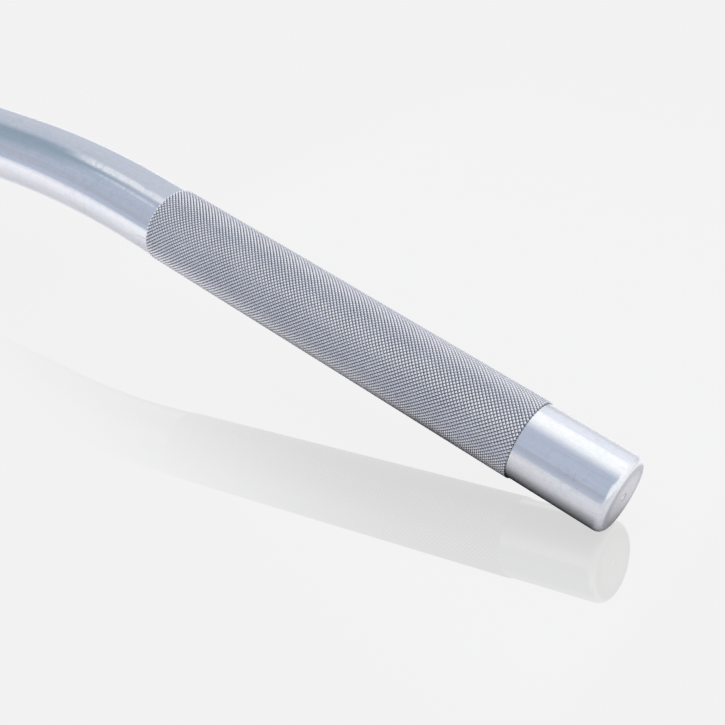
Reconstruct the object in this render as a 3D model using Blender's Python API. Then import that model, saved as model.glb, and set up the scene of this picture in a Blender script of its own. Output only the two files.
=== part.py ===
"""Lat pulldown bar: a bent steel bar that revolves in a hub, under a swivelling eye.

Metres, Z up. X runs along the bar and the right-hand grip is at +X. The origin is the point
inside the eye's ring where the cable's hook bears, on the axis that the eye swivels about.
Heights are measured from the axis of the bar's straight middle, and the objects are placed
under three empties: the eye, the hub that swivels on it and the bar that revolves in the hub.
"""

import math

import bmesh
import bpy

CLEARANCE = 0.0003  # between neighbours, whether they run on each other or are clamped

# The bar
OVERALL_LENGTH = 1.200  # between the middles of the two end faces
BAR_RADIUS = 0.014
HANDLE_ANGLE = math.radians(11)  # how far each handle slopes down
BEND_RADIUS = 0.350
END_LENGTH = 0.036  # smooth bar outside the knurl
GRIP_LENGTH = 0.163
INNER_LENGTH = 0.013  # smooth straight bar between the knurl and the bend
KNURL_HEIGHT = 0.0005  # how far the rolled knurl stands over the smooth bar
KNURL_RUNOUT = 0.0005
EDGE_RADIUS = 0.003
CENTRE_MARK_RADIUS = 0.0016
CENTRE_MARK_DEPTH = 0.0018

# The hub that the bar revolves in
SLEEVE_LENGTH = 0.076
SLEEVE_WALL = 0.004
SLEEVE_CHAMFER = 0.001
BUSH_LENGTH = 0.024
BUSH_WALL = 0.0024
FLANGE_THICKNESS = 0.0025
BUSH_SLIT = 0.0012
SIDE_WASHER_THICKNESS = 0.0015
SIDE_WASHER_SLIP = 0.001  # added to the bar's radius, so that the washer passes over the knurl

# The two-piece clamp collars
COLLAR_WALL = 0.0107
COLLAR_WIDTH = 0.015
COLLAR_SPLIT = 0.0015
COLLAR_EDGE = 0.0008
SCREW_RADIUS = 0.003
SCREW_LENGTH = 0.014
HEAD_RADIUS = 0.005
HEAD_HEIGHT = 0.006
HEAD_SEAT = 0.006  # height of the counterbore's floor over the bar's axis
SOCKET_FLATS = 0.005
SOCKET_DEPTH = 0.003
TAPPED_SPARE = 0.001  # tapped hole past the screw's tip

# The strap that joins the hub to the swivel
STRAP_WIDTH = 0.040
STRAP_THICKNESS = 0.006
STRAP_DROP = 0.008  # how far its legs reach below the bar's axis
STRAP_FOOT_RADIUS = 0.010
STRAP_CORNER_RADIUS = 0.008  # inside corners of the two bends
STRAP_EDGE = 0.0008

# The swivel
SHANK_RADIUS = 0.006
SWIVEL_BUSH_WALL = 0.0027
SWIVEL_FLANGE_LEDGE = 0.004  # how far the flange reaches past the bush's body
SWIVEL_FLANGE_THICKNESS = 0.0025
THRUST_WASHER_THICKNESS = 0.0015
SHOULDER_LEDGE = 0.006  # how far the shoulder reaches past the shank
SHOULDER_HEIGHT = 0.005
NECK_HEIGHT = 0.006
RING_HOLE_RADIUS = 0.011
RING_WIRE_RADIUS = 0.0055
RING_SUNK = 0.0035  # how far the ring's outside sinks into the shoulder
NUT_WASHER_LEDGE = 0.0025  # how far the washer reaches past the nut's flats
NUT_WASHER_THICKNESS = 0.002
NUT_WALL = 0.0022  # of the crown
NUT_LEDGE = 0.001  # how far the flats stand outside the crown
NUT_HEX_HEIGHT = 0.010
NUT_CROWN_HEIGHT = 0.005
NUT_SLOTS = 6
SHANK_SPARE = 0.0015  # shank past the nut's crown
SHANK_TO_SLEEVE = 0.007
PIN_WIRE_RADIUS = 0.0007
PIN_STRAND_GAP = 0.0002
PIN_LOOP_RADIUS = 0.0024
PIN_LEG_REACH = 0.007
PIN_LEG_RISE = math.radians(14)  # how far the opened legs still lean along the pin
PIN_LEG_TURN = math.radians(107)

# Sides of the round shapes
BAR_SIDES = 48
HUB_SIDES = 48
SMALL_SIDES = 32
RING_SIDES = 40
WIRE_SIDES = 14
EDGE_STEPS = 3
BEND_STEPS = 7
CORNER_STEPS = 6

# Places that follow, as heights over the bar's axis or distances from the middle
HANDLE_LENGTH = END_LENGTH + GRIP_LENGTH + INNER_LENGTH
MIDDLE_HALF = (
    OVERALL_LENGTH / 2
    - HANDLE_LENGTH * math.cos(HANDLE_ANGLE)
    - BEND_RADIUS * math.sin(HANDLE_ANGLE)
)
BUSH_BORE_RADIUS = BAR_RADIUS + CLEARANCE
BUSH_RADIUS = BUSH_BORE_RADIUS + BUSH_WALL
SLEEVE_BORE_RADIUS = BUSH_RADIUS + CLEARANCE
SLEEVE_RADIUS = SLEEVE_BORE_RADIUS + SLEEVE_WALL
FLANGE_RADIUS = SLEEVE_RADIUS - SLEEVE_CHAMFER
SLEEVE_END = SLEEVE_LENGTH / 2
FLANGE_FACE = SLEEVE_END + CLEARANCE
SIDE_WASHER_FACE = FLANGE_FACE + FLANGE_THICKNESS + CLEARANCE
COLLAR_FACE = SIDE_WASHER_FACE + SIDE_WASHER_THICKNESS + CLEARANCE
COLLAR_MIDDLE = COLLAR_FACE + COLLAR_WIDTH / 2
COLLAR_BORE_RADIUS = BAR_RADIUS + CLEARANCE
COLLAR_RADIUS = COLLAR_BORE_RADIUS + COLLAR_WALL
SCREW_OFFSET = (COLLAR_BORE_RADIUS + COLLAR_RADIUS) / 2

SHANK_BORE_RADIUS = SHANK_RADIUS + CLEARANCE
SWIVEL_BUSH_RADIUS = SHANK_BORE_RADIUS + SWIVEL_BUSH_WALL
SWIVEL_FLANGE_RADIUS = SWIVEL_BUSH_RADIUS + SWIVEL_FLANGE_LEDGE
THRUST_WASHER_RADIUS = SWIVEL_FLANGE_RADIUS - 2 * CLEARANCE
SHOULDER_RADIUS = SHANK_RADIUS + SHOULDER_LEDGE
NUT_CROWN_RADIUS = SHANK_BORE_RADIUS + NUT_WALL
NUT_FLATS = 2 * (NUT_CROWN_RADIUS + NUT_LEDGE)
NUT_WASHER_RADIUS = NUT_FLATS / 2 + NUT_WASHER_LEDGE
NUT_HEIGHT = NUT_HEX_HEIGHT + NUT_CROWN_HEIGHT

STRAP_INSIDE = SLEEVE_RADIUS + CLEARANCE
SHANK_BASE = SLEEVE_RADIUS + SHANK_TO_SLEEVE
NUT_BASE = SHANK_BASE + SHANK_SPARE
CROWN_TOP = NUT_BASE + NUT_CROWN_HEIGHT
NUT_TOP = NUT_BASE + NUT_HEIGHT
NUT_WASHER_BASE = NUT_TOP + CLEARANCE
NUT_WASHER_TOP = NUT_WASHER_BASE + NUT_WASHER_THICKNESS
STRAP_UNDERSIDE = NUT_WASHER_TOP + CLEARANCE
STRAP_TOP = STRAP_UNDERSIDE + STRAP_THICKNESS
SWIVEL_FLANGE_BASE = STRAP_TOP + CLEARANCE
THRUST_WASHER_BASE = SWIVEL_FLANGE_BASE + SWIVEL_FLANGE_THICKNESS + CLEARANCE
SHOULDER_BASE = THRUST_WASHER_BASE + THRUST_WASHER_THICKNESS + CLEARANCE
SHOULDER_TOP = SHOULDER_BASE + SHOULDER_HEIGHT
RING_CENTRE = SHOULDER_TOP - RING_SUNK + RING_HOLE_RADIUS + 2 * RING_WIRE_RADIUS
EYE_HEIGHT = RING_CENTRE + RING_HOLE_RADIUS
PIN_HEIGHT = NUT_BASE + NUT_CROWN_HEIGHT / 2
PIN_STRAND_OFFSET = PIN_WIRE_RADIUS + PIN_STRAND_GAP / 2
PIN_HOLE_RADIUS = PIN_STRAND_OFFSET + PIN_WIRE_RADIUS + CLEARANCE
AXIS_HEIGHT = -EYE_HEIGHT  # the bar's axis in the world


def clear_scene():
    for obj in list(bpy.data.objects):
        bpy.data.objects.remove(obj, do_unlink=True)


def metal(name, colour, roughness, metallic=1.0):
    """A plain Principled material."""
    material = bpy.data.materials.new(name)
    material.use_nodes = True
    shader = material.node_tree.nodes["Principled BSDF"]
    shader.inputs["Base Color"].default_value = (*colour, 1)
    shader.inputs["Roughness"].default_value = roughness
    shader.inputs["Metallic"].default_value = metallic
    return material


def plastic(name, colour, roughness):
    return metal(name, colour, roughness, metallic=0.0)


def empty(name, location, parent=None):
    """A joint's frame, which the pieces of one body are parented to."""
    frame = bpy.data.objects.new(name, None)
    bpy.context.scene.collection.objects.link(frame)
    frame.location = location
    frame.parent = parent
    return frame


def add_object(name, bm, material=None, parent=None, location=(0, 0, 0), turn=(0, 0, 0)):
    """The mesh as an object, smooth over its round faces and sharp at its edges."""
    mesh = bpy.data.meshes.new(name)
    bm.to_mesh(mesh)
    bm.free()
    mesh.shade_smooth()
    mesh.set_sharp_from_angle(angle=math.radians(30))
    obj = bpy.data.objects.new(name, mesh)
    bpy.context.scene.collection.objects.link(obj)
    obj.location = location
    obj.rotation_euler = turn
    obj.parent = parent
    if material:
        mesh.materials.append(material)
    return obj


def lathe(profile, sides, closed=True):
    """A profile of (radius, height) points turned about Z. An open one starts and ends on the axis."""
    bm = bmesh.new()
    verts = [bm.verts.new((radius, 0, height)) for radius, height in profile]
    edges = [bm.edges.new(pair) for pair in zip(verts, verts[1:])]
    if closed:
        edges.append(bm.edges.new((verts[-1], verts[0])))
    bmesh.ops.spin(
        bm,
        geom=verts + edges,
        axis=(0, 0, 1),
        cent=(0, 0, 0),
        angle=2 * math.pi,
        steps=sides,
        use_merge=True,
    )
    bmesh.ops.remove_doubles(bm, verts=bm.verts, dist=1e-6)
    bmesh.ops.recalc_face_normals(bm, faces=bm.faces)
    return bm


def ring(inner, outer, base, top, chamfer, sides):
    """A plain ring, chamfered round its outside."""
    return lathe(
        [
            (inner, base),
            (outer - chamfer, base),
            (outer, base + chamfer),
            (outer, top - chamfer),
            (outer - chamfer, top),
            (inner, top),
        ],
        sides,
    )


def flanged_bush(bore, body, flange, length, thickness, chamfer, sides):
    """A bush whose body hangs below height 0 and whose flange stands on it."""
    return lathe(
        [
            (bore, -length),
            (body - chamfer, -length),
            (body, chamfer - length),
            (body, 0),
            (flange, 0),
            (flange, thickness - chamfer),
            (flange - chamfer, thickness),
            (bore, thickness),
        ],
        sides,
    )


def cylinder(radius, base, top, sides=SMALL_SIDES):
    return lathe([(0, base), (radius, base), (radius, top), (0, top)], sides, closed=False)


def prism(outline, half_width):
    """A flat outline of (y, z) points made as wide as this to both sides along X."""
    bm = bmesh.new()
    face = bm.faces.new([bm.verts.new((-half_width, y, z)) for y, z in outline])
    made = bmesh.ops.extrude_face_region(bm, geom=[face])["geom"]
    moved = [item for item in made if isinstance(item, bmesh.types.BMVert)]
    bmesh.ops.translate(bm, verts=moved, vec=(2 * half_width, 0, 0))
    bmesh.ops.recalc_face_normals(bm, faces=bm.faces)
    return bm


def arc(centre, radius, start, end, steps):
    """Points of an arc, both ends included, as (y, z). Angles run from +Y towards +Z."""
    angles = [start + (end - start) * step / steps for step in range(steps + 1)]
    return [(centre[0] + radius * math.cos(a), centre[1] + radius * math.sin(a)) for a in angles]


def boolean(target, operation, bm, name, location=(0, 0, 0), turn=(0, 0, 0)):
    """Cuts a helper shape from the target, or joins it on. The helper moves with the target."""
    helper = add_object(name, bm, parent=target.parent, location=location, turn=turn)
    helper.hide_render = True
    helper.display_type = "WIRE"
    modifier = target.modifiers.new(name, "BOOLEAN")
    modifier.operation = operation
    modifier.solver = "EXACT"
    modifier.object = helper


def break_edges(target, width):
    """A small chamfer along every sharp edge."""
    modifier = target.modifiers.new("broken_edges", "BEVEL")
    modifier.width = width
    modifier.segments = 1
    modifier.limit_method = "ANGLE"
    modifier.angle_limit = math.radians(40)


def bar_stations():
    """(distance from the tip, radius) along one handle, from its end face to the bend."""
    face_radius = BAR_RADIUS - EDGE_RADIUS
    stations = []
    for step in range(EDGE_STEPS + 1):
        angle = math.pi / 2 * step / EDGE_STEPS
        stations.append((EDGE_RADIUS * (1 - math.cos(angle)), face_radius + EDGE_RADIUS * math.sin(angle)))
    grip_end = END_LENGTH + GRIP_LENGTH
    stations += [
        (END_LENGTH - KNURL_RUNOUT, BAR_RADIUS),
        (END_LENGTH, BAR_RADIUS + KNURL_HEIGHT),
        (grip_end, BAR_RADIUS + KNURL_HEIGHT),
        (grip_end + KNURL_RUNOUT, BAR_RADIUS),
    ]
    return stations


def bar_path():
    """(x, z, radius) from the right-hand tip to the middle of the bar."""
    cosine, sine = math.cos(HANDLE_ANGLE), math.sin(HANDLE_ANGLE)
    tip_x = OVERALL_LENGTH / 2
    tip_z = -BEND_RADIUS * (1 - cosine) - HANDLE_LENGTH * sine
    path = [(tip_x - s * cosine, tip_z + s * sine, radius) for s, radius in bar_stations()]
    for step in range(BEND_STEPS + 1):
        angle = HANDLE_ANGLE * (1 - step / BEND_STEPS)
        x = MIDDLE_HALF + BEND_RADIUS * math.sin(angle)
        path.append((x, -BEND_RADIUS * (1 - math.cos(angle)), BAR_RADIUS))
    return path


def bent_bar(material, parent):
    """The bar as one curve with a round bevel, whose radius swells over the two knurls."""
    right = bar_path()
    points = right + [(-x, z, radius) for x, z, radius in reversed(right)]
    curve = bpy.data.curves.new("bent_bar", "CURVE")
    curve.dimensions = "3D"
    curve.bevel_depth = BAR_RADIUS
    curve.bevel_resolution = BAR_SIDES // 2 - 2
    curve.use_fill_caps = True
    spline = curve.splines.new("POLY")
    spline.points.add(len(points) - 1)
    for point, (x, z, radius) in zip(spline.points, points):
        point.co = (x, 0, z, 1)
        point.radius = radius / BAR_RADIUS
    guide = bpy.data.objects.new("bar_guide", curve)
    bpy.context.scene.collection.objects.link(guide)
    bm = bmesh.new()
    bm.from_mesh(guide.to_mesh())
    guide.to_mesh_clear()
    bpy.data.objects.remove(guide)
    bmesh.ops.remove_doubles(bm, verts=bm.verts, dist=1e-6)
    bmesh.ops.recalc_face_normals(bm, faces=bm.faces)
    bar = add_object("bent_bar", bm, material, parent)
    tip_x, tip_z, _ = right[0]
    for side, label in ((1, "right"), (-1, "left")):
        depth = CENTRE_MARK_DEPTH
        flare = CENTRE_MARK_RADIUS / depth
        mark = lathe([(0, -depth), (2 * depth * flare, depth), (0, depth)], SMALL_SIDES, closed=False)
        tilt = side * (math.pi / 2 + HANDLE_ANGLE)
        boolean(bar, "DIFFERENCE", mark, "centre_mark_" + label, (side * tip_x, 0, tip_z), (0, tilt, 0))


def slit_outline():
    """The slit along the bottom of a bush, which lets it open to go over the bar."""
    half = BUSH_SLIT / 2
    low = -FLANGE_RADIUS - CLEARANCE
    high = -BUSH_BORE_RADIUS + 2 * CLEARANCE
    return [(-half, low), (half, low), (half, high), (-half, high)]


def hub(steel, acetal, stainless, parent):
    """The sleeve, with a split flanged bush pushed into each end and a washer outside each flange."""
    bm = ring(SLEEVE_BORE_RADIUS, SLEEVE_RADIUS, -SLEEVE_END, SLEEVE_END, SLEEVE_CHAMFER, HUB_SIDES)
    add_object("hub_sleeve", bm, steel, parent, turn=(0, math.pi / 2, 0))
    for side, label in ((1, "right"), (-1, "left")):
        turn = (0, side * math.pi / 2, 0)
        bm = flanged_bush(
            BUSH_BORE_RADIUS, BUSH_RADIUS, FLANGE_RADIUS, BUSH_LENGTH, FLANGE_THICKNESS, CLEARANCE, HUB_SIDES
        )
        bush = add_object("sleeve_bush_" + label, bm, acetal, parent, (side * FLANGE_FACE, 0, 0), turn)
        slit = prism(slit_outline(), BUSH_LENGTH * 2)
        boolean(bush, "DIFFERENCE", slit, "bush_slit_" + label, (side * FLANGE_FACE, 0, 0))
        base, top = SIDE_WASHER_FACE, SIDE_WASHER_FACE + SIDE_WASHER_THICKNESS
        inner = BAR_RADIUS + SIDE_WASHER_SLIP
        bm = ring(inner, FLANGE_RADIUS, base, top, CLEARANCE, HUB_SIDES)
        add_object("side_washer_" + label, bm, stainless, parent, turn=turn)


def collar_outline():
    """Half a ring in (y, z), above the split plane."""
    half_split = COLLAR_SPLIT / 2
    outer_start = math.asin(half_split / COLLAR_RADIUS)
    inner_start = math.asin(half_split / COLLAR_BORE_RADIUS)
    outside = arc((0, 0), COLLAR_RADIUS, outer_start, math.pi - outer_start, HUB_SIDES // 2)
    inside = arc((0, 0), COLLAR_BORE_RADIUS, math.pi - inner_start, inner_start, HUB_SIDES // 2)
    return outside + inside


def counterbored_hole(hole, seat):
    """A screw's clearance hole and the wider seat for its head, as one turned cutter."""
    profile = [
        (0, -COLLAR_RADIUS),
        (hole, -COLLAR_RADIUS),
        (hole, HEAD_SEAT),
        (seat, HEAD_SEAT),
        (seat, COLLAR_RADIUS),
        (0, COLLAR_RADIUS),
    ]
    return lathe(profile, SMALL_SIDES, closed=False)


def collar_half(name, steel, parent, x, upper):
    """The upper half has clearance holes and counterbores, the lower half the tapped holes."""
    turn = (0 if upper else math.pi, 0, 0)
    half = add_object(name, prism(collar_outline(), COLLAR_WIDTH / 2), steel, parent, (x, 0, 0), turn)
    break_edges(half, COLLAR_EDGE)
    hole = SCREW_RADIUS + CLEARANCE
    tip = HEAD_SEAT + CLEARANCE - SCREW_LENGTH
    for side, label in ((-1, "front"), (1, "rear")):
        if upper:
            cutter = counterbored_hole(hole, HEAD_RADIUS + CLEARANCE)
        else:
            cutter = cylinder(hole, tip - TAPPED_SPARE, COLLAR_RADIUS)
        boolean(half, "DIFFERENCE", cutter, f"{name}_hole_{label}", (x, side * SCREW_OFFSET, 0))


def collar_screw(name, steel, parent, place):
    """A socket head screw, with its tip chamfered."""
    base = HEAD_SEAT + CLEARANCE
    top = base + HEAD_HEIGHT
    edge = CLEARANCE
    profile = [
        (0, base - SCREW_LENGTH),
        (SCREW_RADIUS - 2 * edge, base - SCREW_LENGTH),
        (SCREW_RADIUS, base - SCREW_LENGTH + 2 * edge),
        (SCREW_RADIUS, base),
        (HEAD_RADIUS, base),
        (HEAD_RADIUS, top - edge),
        (HEAD_RADIUS - edge, top),
        (0, top),
    ]
    screw = add_object(name, lathe(profile, SMALL_SIDES, closed=False), steel, parent, place)
    socket = cylinder(SOCKET_FLATS / math.sqrt(3), top - SOCKET_DEPTH, top + SOCKET_DEPTH, 6)
    boolean(screw, "DIFFERENCE", socket, name + "_socket", place)


def collars(steel, screw_steel, parent):
    """A two-piece clamp collar outside each washer, so that the hub can't slide along the bar."""
    for side, label in ((1, "right"), (-1, "left")):
        x = side * COLLAR_MIDDLE
        collar_half("collar_upper_" + label, steel, parent, x, upper=True)
        collar_half("collar_lower_" + label, steel, parent, x, upper=False)
        for where, face in ((-1, "front"), (1, "rear")):
            place = (x, where * SCREW_OFFSET, 0)
            collar_screw(f"collar_screw_{label}_{face}", screw_steel, parent, place)


def strap_outline():
    """The strap's U, open downwards, as (y, z)."""
    inner, outer = STRAP_CORNER_RADIUS, STRAP_CORNER_RADIUS + STRAP_THICKNESS
    reach = STRAP_INSIDE - inner
    height = STRAP_UNDERSIDE - inner
    outline = [(STRAP_INSIDE + STRAP_THICKNESS, -STRAP_DROP)]
    outline += arc((reach, height), outer, 0, math.pi / 2, CORNER_STEPS)
    outline += arc((-reach, height), outer, math.pi / 2, math.pi, CORNER_STEPS)
    outline += [(-STRAP_INSIDE - STRAP_THICKNESS, -STRAP_DROP), (-STRAP_INSIDE, -STRAP_DROP)]
    outline += arc((-reach, height), inner, math.pi, math.pi / 2, CORNER_STEPS)
    outline += arc((reach, height), inner, math.pi / 2, 0, CORNER_STEPS)
    return outline + [(STRAP_INSIDE, -STRAP_DROP)]


def is_foot_edge(edge):
    """An edge across the thickness of a leg, at the foot's corner."""
    first, second = (vert.co for vert in edge.verts)
    low = max(first.z, second.z) < -STRAP_DROP + CLEARANCE
    return low and abs(first.x - second.x) < CLEARANCE


def hanger_strap(steel, parent):
    """Flat bar bent over the sleeve, with its feet rounded and a hole for the swivel's bush."""
    bm = prism(strap_outline(), STRAP_WIDTH / 2)
    corners = [edge for edge in bm.edges if is_foot_edge(edge)]
    bmesh.ops.bevel(
        bm, geom=corners, offset=STRAP_FOOT_RADIUS, segments=CORNER_STEPS, profile=0.5, affect="EDGES"
    )
    strap = add_object("hanger_strap", bm, steel, parent)
    break_edges(strap, STRAP_EDGE)
    past = STRAP_THICKNESS
    hole = cylinder(SWIVEL_BUSH_RADIUS + CLEARANCE, STRAP_UNDERSIDE - past, STRAP_TOP + past)
    boolean(strap, "DIFFERENCE", hole, "bush_hole")


def swivel_bearing(bronze, hardened, zinc, parent):
    """The flanged bush in the strap, the thrust washer on it and the nut's washer under the strap."""
    bore = SHANK_BORE_RADIUS
    body, flange = SWIVEL_BUSH_RADIUS, SWIVEL_FLANGE_RADIUS
    length = SWIVEL_FLANGE_BASE - STRAP_UNDERSIDE - CLEARANCE
    bm = flanged_bush(bore, body, flange, length, SWIVEL_FLANGE_THICKNESS, CLEARANCE, SMALL_SIDES)
    add_object("swivel_bush", bm, bronze, parent, (0, 0, SWIVEL_FLANGE_BASE))
    top = THRUST_WASHER_BASE + THRUST_WASHER_THICKNESS
    bm = ring(bore, THRUST_WASHER_RADIUS, THRUST_WASHER_BASE, top, CLEARANCE, SMALL_SIDES)
    add_object("thrust_washer", bm, hardened, parent)
    bm = ring(bore, NUT_WASHER_RADIUS, NUT_WASHER_BASE, NUT_WASHER_TOP, CLEARANCE, SMALL_SIDES)
    add_object("nut_washer", bm, zinc, parent)


def swivel_eye(steel, parent, place):
    """A ring on a shoulder and a shank. The cable's hook goes through the ring along Y."""
    edge = 2 * CLEARANCE
    profile = [
        (0, SHANK_BASE),
        (SHANK_RADIUS - edge, SHANK_BASE),
        (SHANK_RADIUS, SHANK_BASE + edge),
        (SHANK_RADIUS, SHOULDER_BASE),
        (SHOULDER_RADIUS - edge, SHOULDER_BASE),
        (SHOULDER_RADIUS, SHOULDER_BASE + edge),
        (SHOULDER_RADIUS, SHOULDER_TOP - 2 * edge),
        (SHOULDER_RADIUS - 2 * edge, SHOULDER_TOP),
        (RING_WIRE_RADIUS, SHOULDER_TOP + NECK_HEIGHT),
        (0, SHOULDER_TOP + NECK_HEIGHT),
    ]
    eye = add_object("swivel_eye", lathe(profile, SMALL_SIDES, closed=False), steel, parent, place)
    wire_centre = (RING_HOLE_RADIUS + RING_WIRE_RADIUS, 0)
    wire = arc(wire_centre, RING_WIRE_RADIUS, 0, 2 * math.pi, WIRE_SIDES)[:-1]
    upright = (math.pi / 2, 0, 0)
    boolean(eye, "UNION", lathe(wire, RING_SIDES), "eye_ring", (0, 0, place[2] + RING_CENTRE), upright)
    pin_hole = cylinder(PIN_HOLE_RADIUS, -SHOULDER_RADIUS, SHOULDER_RADIUS, SMALL_SIDES // 2)
    boolean(eye, "DIFFERENCE", pin_hole, "pin_hole", (0, 0, place[2] + PIN_HEIGHT), upright)


def castle_nut(steel, parent, place):
    """A hexagon with a crown below it, slotted in line with the middle of each flat."""
    corner = NUT_FLATS / math.sqrt(3)
    nut = add_object("castle_nut", cylinder(corner, CROWN_TOP, NUT_TOP, 6), steel, parent, place)
    break_edges(nut, COLLAR_EDGE)
    crown = cylinder(NUT_CROWN_RADIUS, NUT_BASE, CROWN_TOP + NUT_CROWN_HEIGHT / 2)
    boolean(nut, "UNION", crown, "nut_crown", place)
    bore = cylinder(SHANK_RADIUS + CLEARANCE, NUT_BASE - NUT_CROWN_HEIGHT, NUT_TOP + NUT_CROWN_HEIGHT)
    boolean(nut, "DIFFERENCE", bore, "nut_bore", place)
    for number in range(NUT_SLOTS // 2):
        half = PIN_HOLE_RADIUS
        roof = PIN_HEIGHT + half
        floor = NUT_BASE - NUT_CROWN_HEIGHT
        slot = prism([(-half, floor), (half, floor), (half, roof), (-half, roof)], NUT_FLATS)
        turn = (0, 0, math.pi / 2 + number * 2 * math.pi / NUT_SLOTS)
        boolean(nut, "DIFFERENCE", slot, f"nut_slot_{number + 1}", place, turn)


def pin_path():
    """Half the pin as (x, y): a leg's tip, its bend, the straight strand and half the loop."""
    nut_side = NUT_FLATS / 2
    bend_radius = PIN_LOOP_RADIUS / 2
    bend_centre = (PIN_STRAND_OFFSET + bend_radius, nut_side)
    bend = arc(bend_centre, bend_radius, PIN_LEG_TURN, math.pi, 4)
    leg_tip = (PIN_STRAND_OFFSET + PIN_LEG_REACH, bend[0][1] + PIN_LEG_REACH * math.tan(PIN_LEG_RISE))
    loop_centre = (0, -nut_side - PIN_LOOP_RADIUS)
    loop_start = math.acos(PIN_STRAND_OFFSET / PIN_LOOP_RADIUS)
    loop = arc(loop_centre, PIN_LOOP_RADIUS, loop_start, -math.pi / 2, 10)
    return [leg_tip] + bend + loop


def cotter_pin(steel, parent, place):
    """A split pin of one folded wire, its head a loop at the front and its legs opened at the rear."""
    half = pin_path()
    points = half + [(-x, y) for x, y in reversed(half[:-1])]
    curve = bpy.data.curves.new("cotter_pin", "CURVE")
    curve.dimensions = "3D"
    curve.bevel_depth = PIN_WIRE_RADIUS
    curve.bevel_resolution = 2
    curve.use_fill_caps = True
    spline = curve.splines.new("POLY")
    spline.points.add(len(points) - 1)
    for point, (x, y) in zip(spline.points, points):
        point.co = (x, y, PIN_HEIGHT, 1)
    pin = bpy.data.objects.new("cotter_pin", curve)
    bpy.context.scene.collection.objects.link(pin)
    curve.materials.append(steel)
    pin.location = place
    pin.parent = parent


def main():
    clear_scene()
    chrome = metal("chrome", (0.78, 0.79, 0.82), 0.12)
    satin_chrome = metal("satin_chrome", (0.70, 0.71, 0.74), 0.28)
    zinc = metal("zinc", (0.62, 0.63, 0.64), 0.35)
    stainless = metal("stainless", (0.66, 0.66, 0.65), 0.25)
    hardened = metal("hardened_steel", (0.45, 0.46, 0.48), 0.22)
    black_oxide = metal("black_oxide", (0.045, 0.045, 0.05), 0.38)
    bronze = metal("bronze", (0.62, 0.42, 0.20), 0.32)
    acetal = plastic("black_acetal", (0.02, 0.02, 0.022), 0.4)

    eye_frame = empty("eye_frame", (0, 0, 0))
    hub_frame = empty("hub_frame", (0, 0, AXIS_HEIGHT), eye_frame)
    bar_frame = empty("bar_frame", (0, 0, 0), hub_frame)
    axis_place = (0, 0, AXIS_HEIGHT)

    bent_bar(chrome, bar_frame)
    collars(satin_chrome, black_oxide, bar_frame)
    hub(chrome, acetal, stainless, hub_frame)
    hanger_strap(satin_chrome, hub_frame)
    swivel_bearing(bronze, hardened, zinc, hub_frame)
    swivel_eye(zinc, eye_frame, axis_place)
    castle_nut(zinc, eye_frame, axis_place)
    cotter_pin(stainless, eye_frame, axis_place)


main()
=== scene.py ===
# %% [markdown]
# # A lat pulldown bar in bright chrome
#
# The object is a steel bar that hangs from the cable of a pulldown machine. Its two handles slope
# down and carry a rolled diamond knurl. The bar revolves in a short hub, and a forged eye lets the
# hub swivel under the cable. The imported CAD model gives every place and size, and this lesson adds
# what a CAD solid leaves out: a real knurl, threads, weld beads, softened edges and the finishes.
#
# The CAD model is loaded first. Its box is kept, so the finished pieces can be held against it.

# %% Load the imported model
import math
from contextlib import contextmanager

import bmesh
import bpy
from mathutils import Matrix, Vector


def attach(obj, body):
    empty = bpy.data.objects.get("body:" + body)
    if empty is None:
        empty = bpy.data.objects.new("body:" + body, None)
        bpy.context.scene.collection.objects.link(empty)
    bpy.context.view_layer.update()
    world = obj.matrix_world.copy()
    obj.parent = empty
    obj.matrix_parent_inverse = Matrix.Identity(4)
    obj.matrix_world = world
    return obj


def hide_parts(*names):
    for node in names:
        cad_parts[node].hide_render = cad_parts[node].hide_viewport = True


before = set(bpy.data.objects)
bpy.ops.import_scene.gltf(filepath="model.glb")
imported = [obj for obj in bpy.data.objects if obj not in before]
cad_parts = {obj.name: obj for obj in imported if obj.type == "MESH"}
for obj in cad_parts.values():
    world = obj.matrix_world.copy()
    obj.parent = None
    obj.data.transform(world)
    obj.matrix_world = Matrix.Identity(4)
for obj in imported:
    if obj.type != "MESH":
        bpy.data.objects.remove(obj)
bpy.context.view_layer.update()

# %% [markdown]
# ## Working by hand, in code
#
# Every piece starts as one of Blender's primitives and is shaped in edit mode. An operator works on
# whatever is selected, so everything else is deselected first, and then vertices, edges or faces
# are picked by where they are. Modifiers finish a piece, and each is applied at once.

# %% Helpers for edit mode
ORIGIN = (0, 0, 0)
MERGE = 1e-6  # points closer than this are one


def clear_selection():
    """Leaves edit mode and deselects every object."""
    if bpy.context.object and bpy.context.object.mode != "OBJECT":
        bpy.ops.object.mode_set(mode="OBJECT")
    bpy.ops.object.select_all(action="DESELECT")


def make_active(piece):
    clear_selection()
    piece.select_set(True)
    bpy.context.view_layer.objects.active = piece


def added(primitive, name, **shape):
    """Adds a primitive and moves its place into its mesh, so that the object is at the origin."""
    clear_selection()
    primitive(**shape)
    piece = bpy.context.object
    piece.name = piece.data.name = name
    bpy.ops.object.transform_apply(location=True, rotation=True, scale=True)
    return piece


@contextmanager
def editing(piece, kind="VERT"):
    """Edit mode on one piece, with all of it selected."""
    make_active(piece)
    bpy.ops.object.mode_set(mode="EDIT")
    bpy.ops.mesh.select_mode(type=kind)
    bpy.ops.mesh.select_all(action="SELECT")
    yield
    bpy.ops.object.mode_set(mode="OBJECT")


def pick(piece, kind, wanted):
    """Selects the verts, edges or faces for which wanted(item) is true, and nothing else."""
    bpy.ops.mesh.select_all(action="DESELECT")
    mesh = bmesh.from_edit_mesh(piece.data)
    for item in getattr(mesh, kind):
        if wanted(item):
            item.select = True
    mesh.select_flush_mode()
    bmesh.update_edit_mesh(piece.data)


def extrude(reach):
    """Extrudes what is selected."""
    bpy.ops.mesh.extrude_region_move(TRANSFORM_OT_translate={"value": reach})


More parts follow.
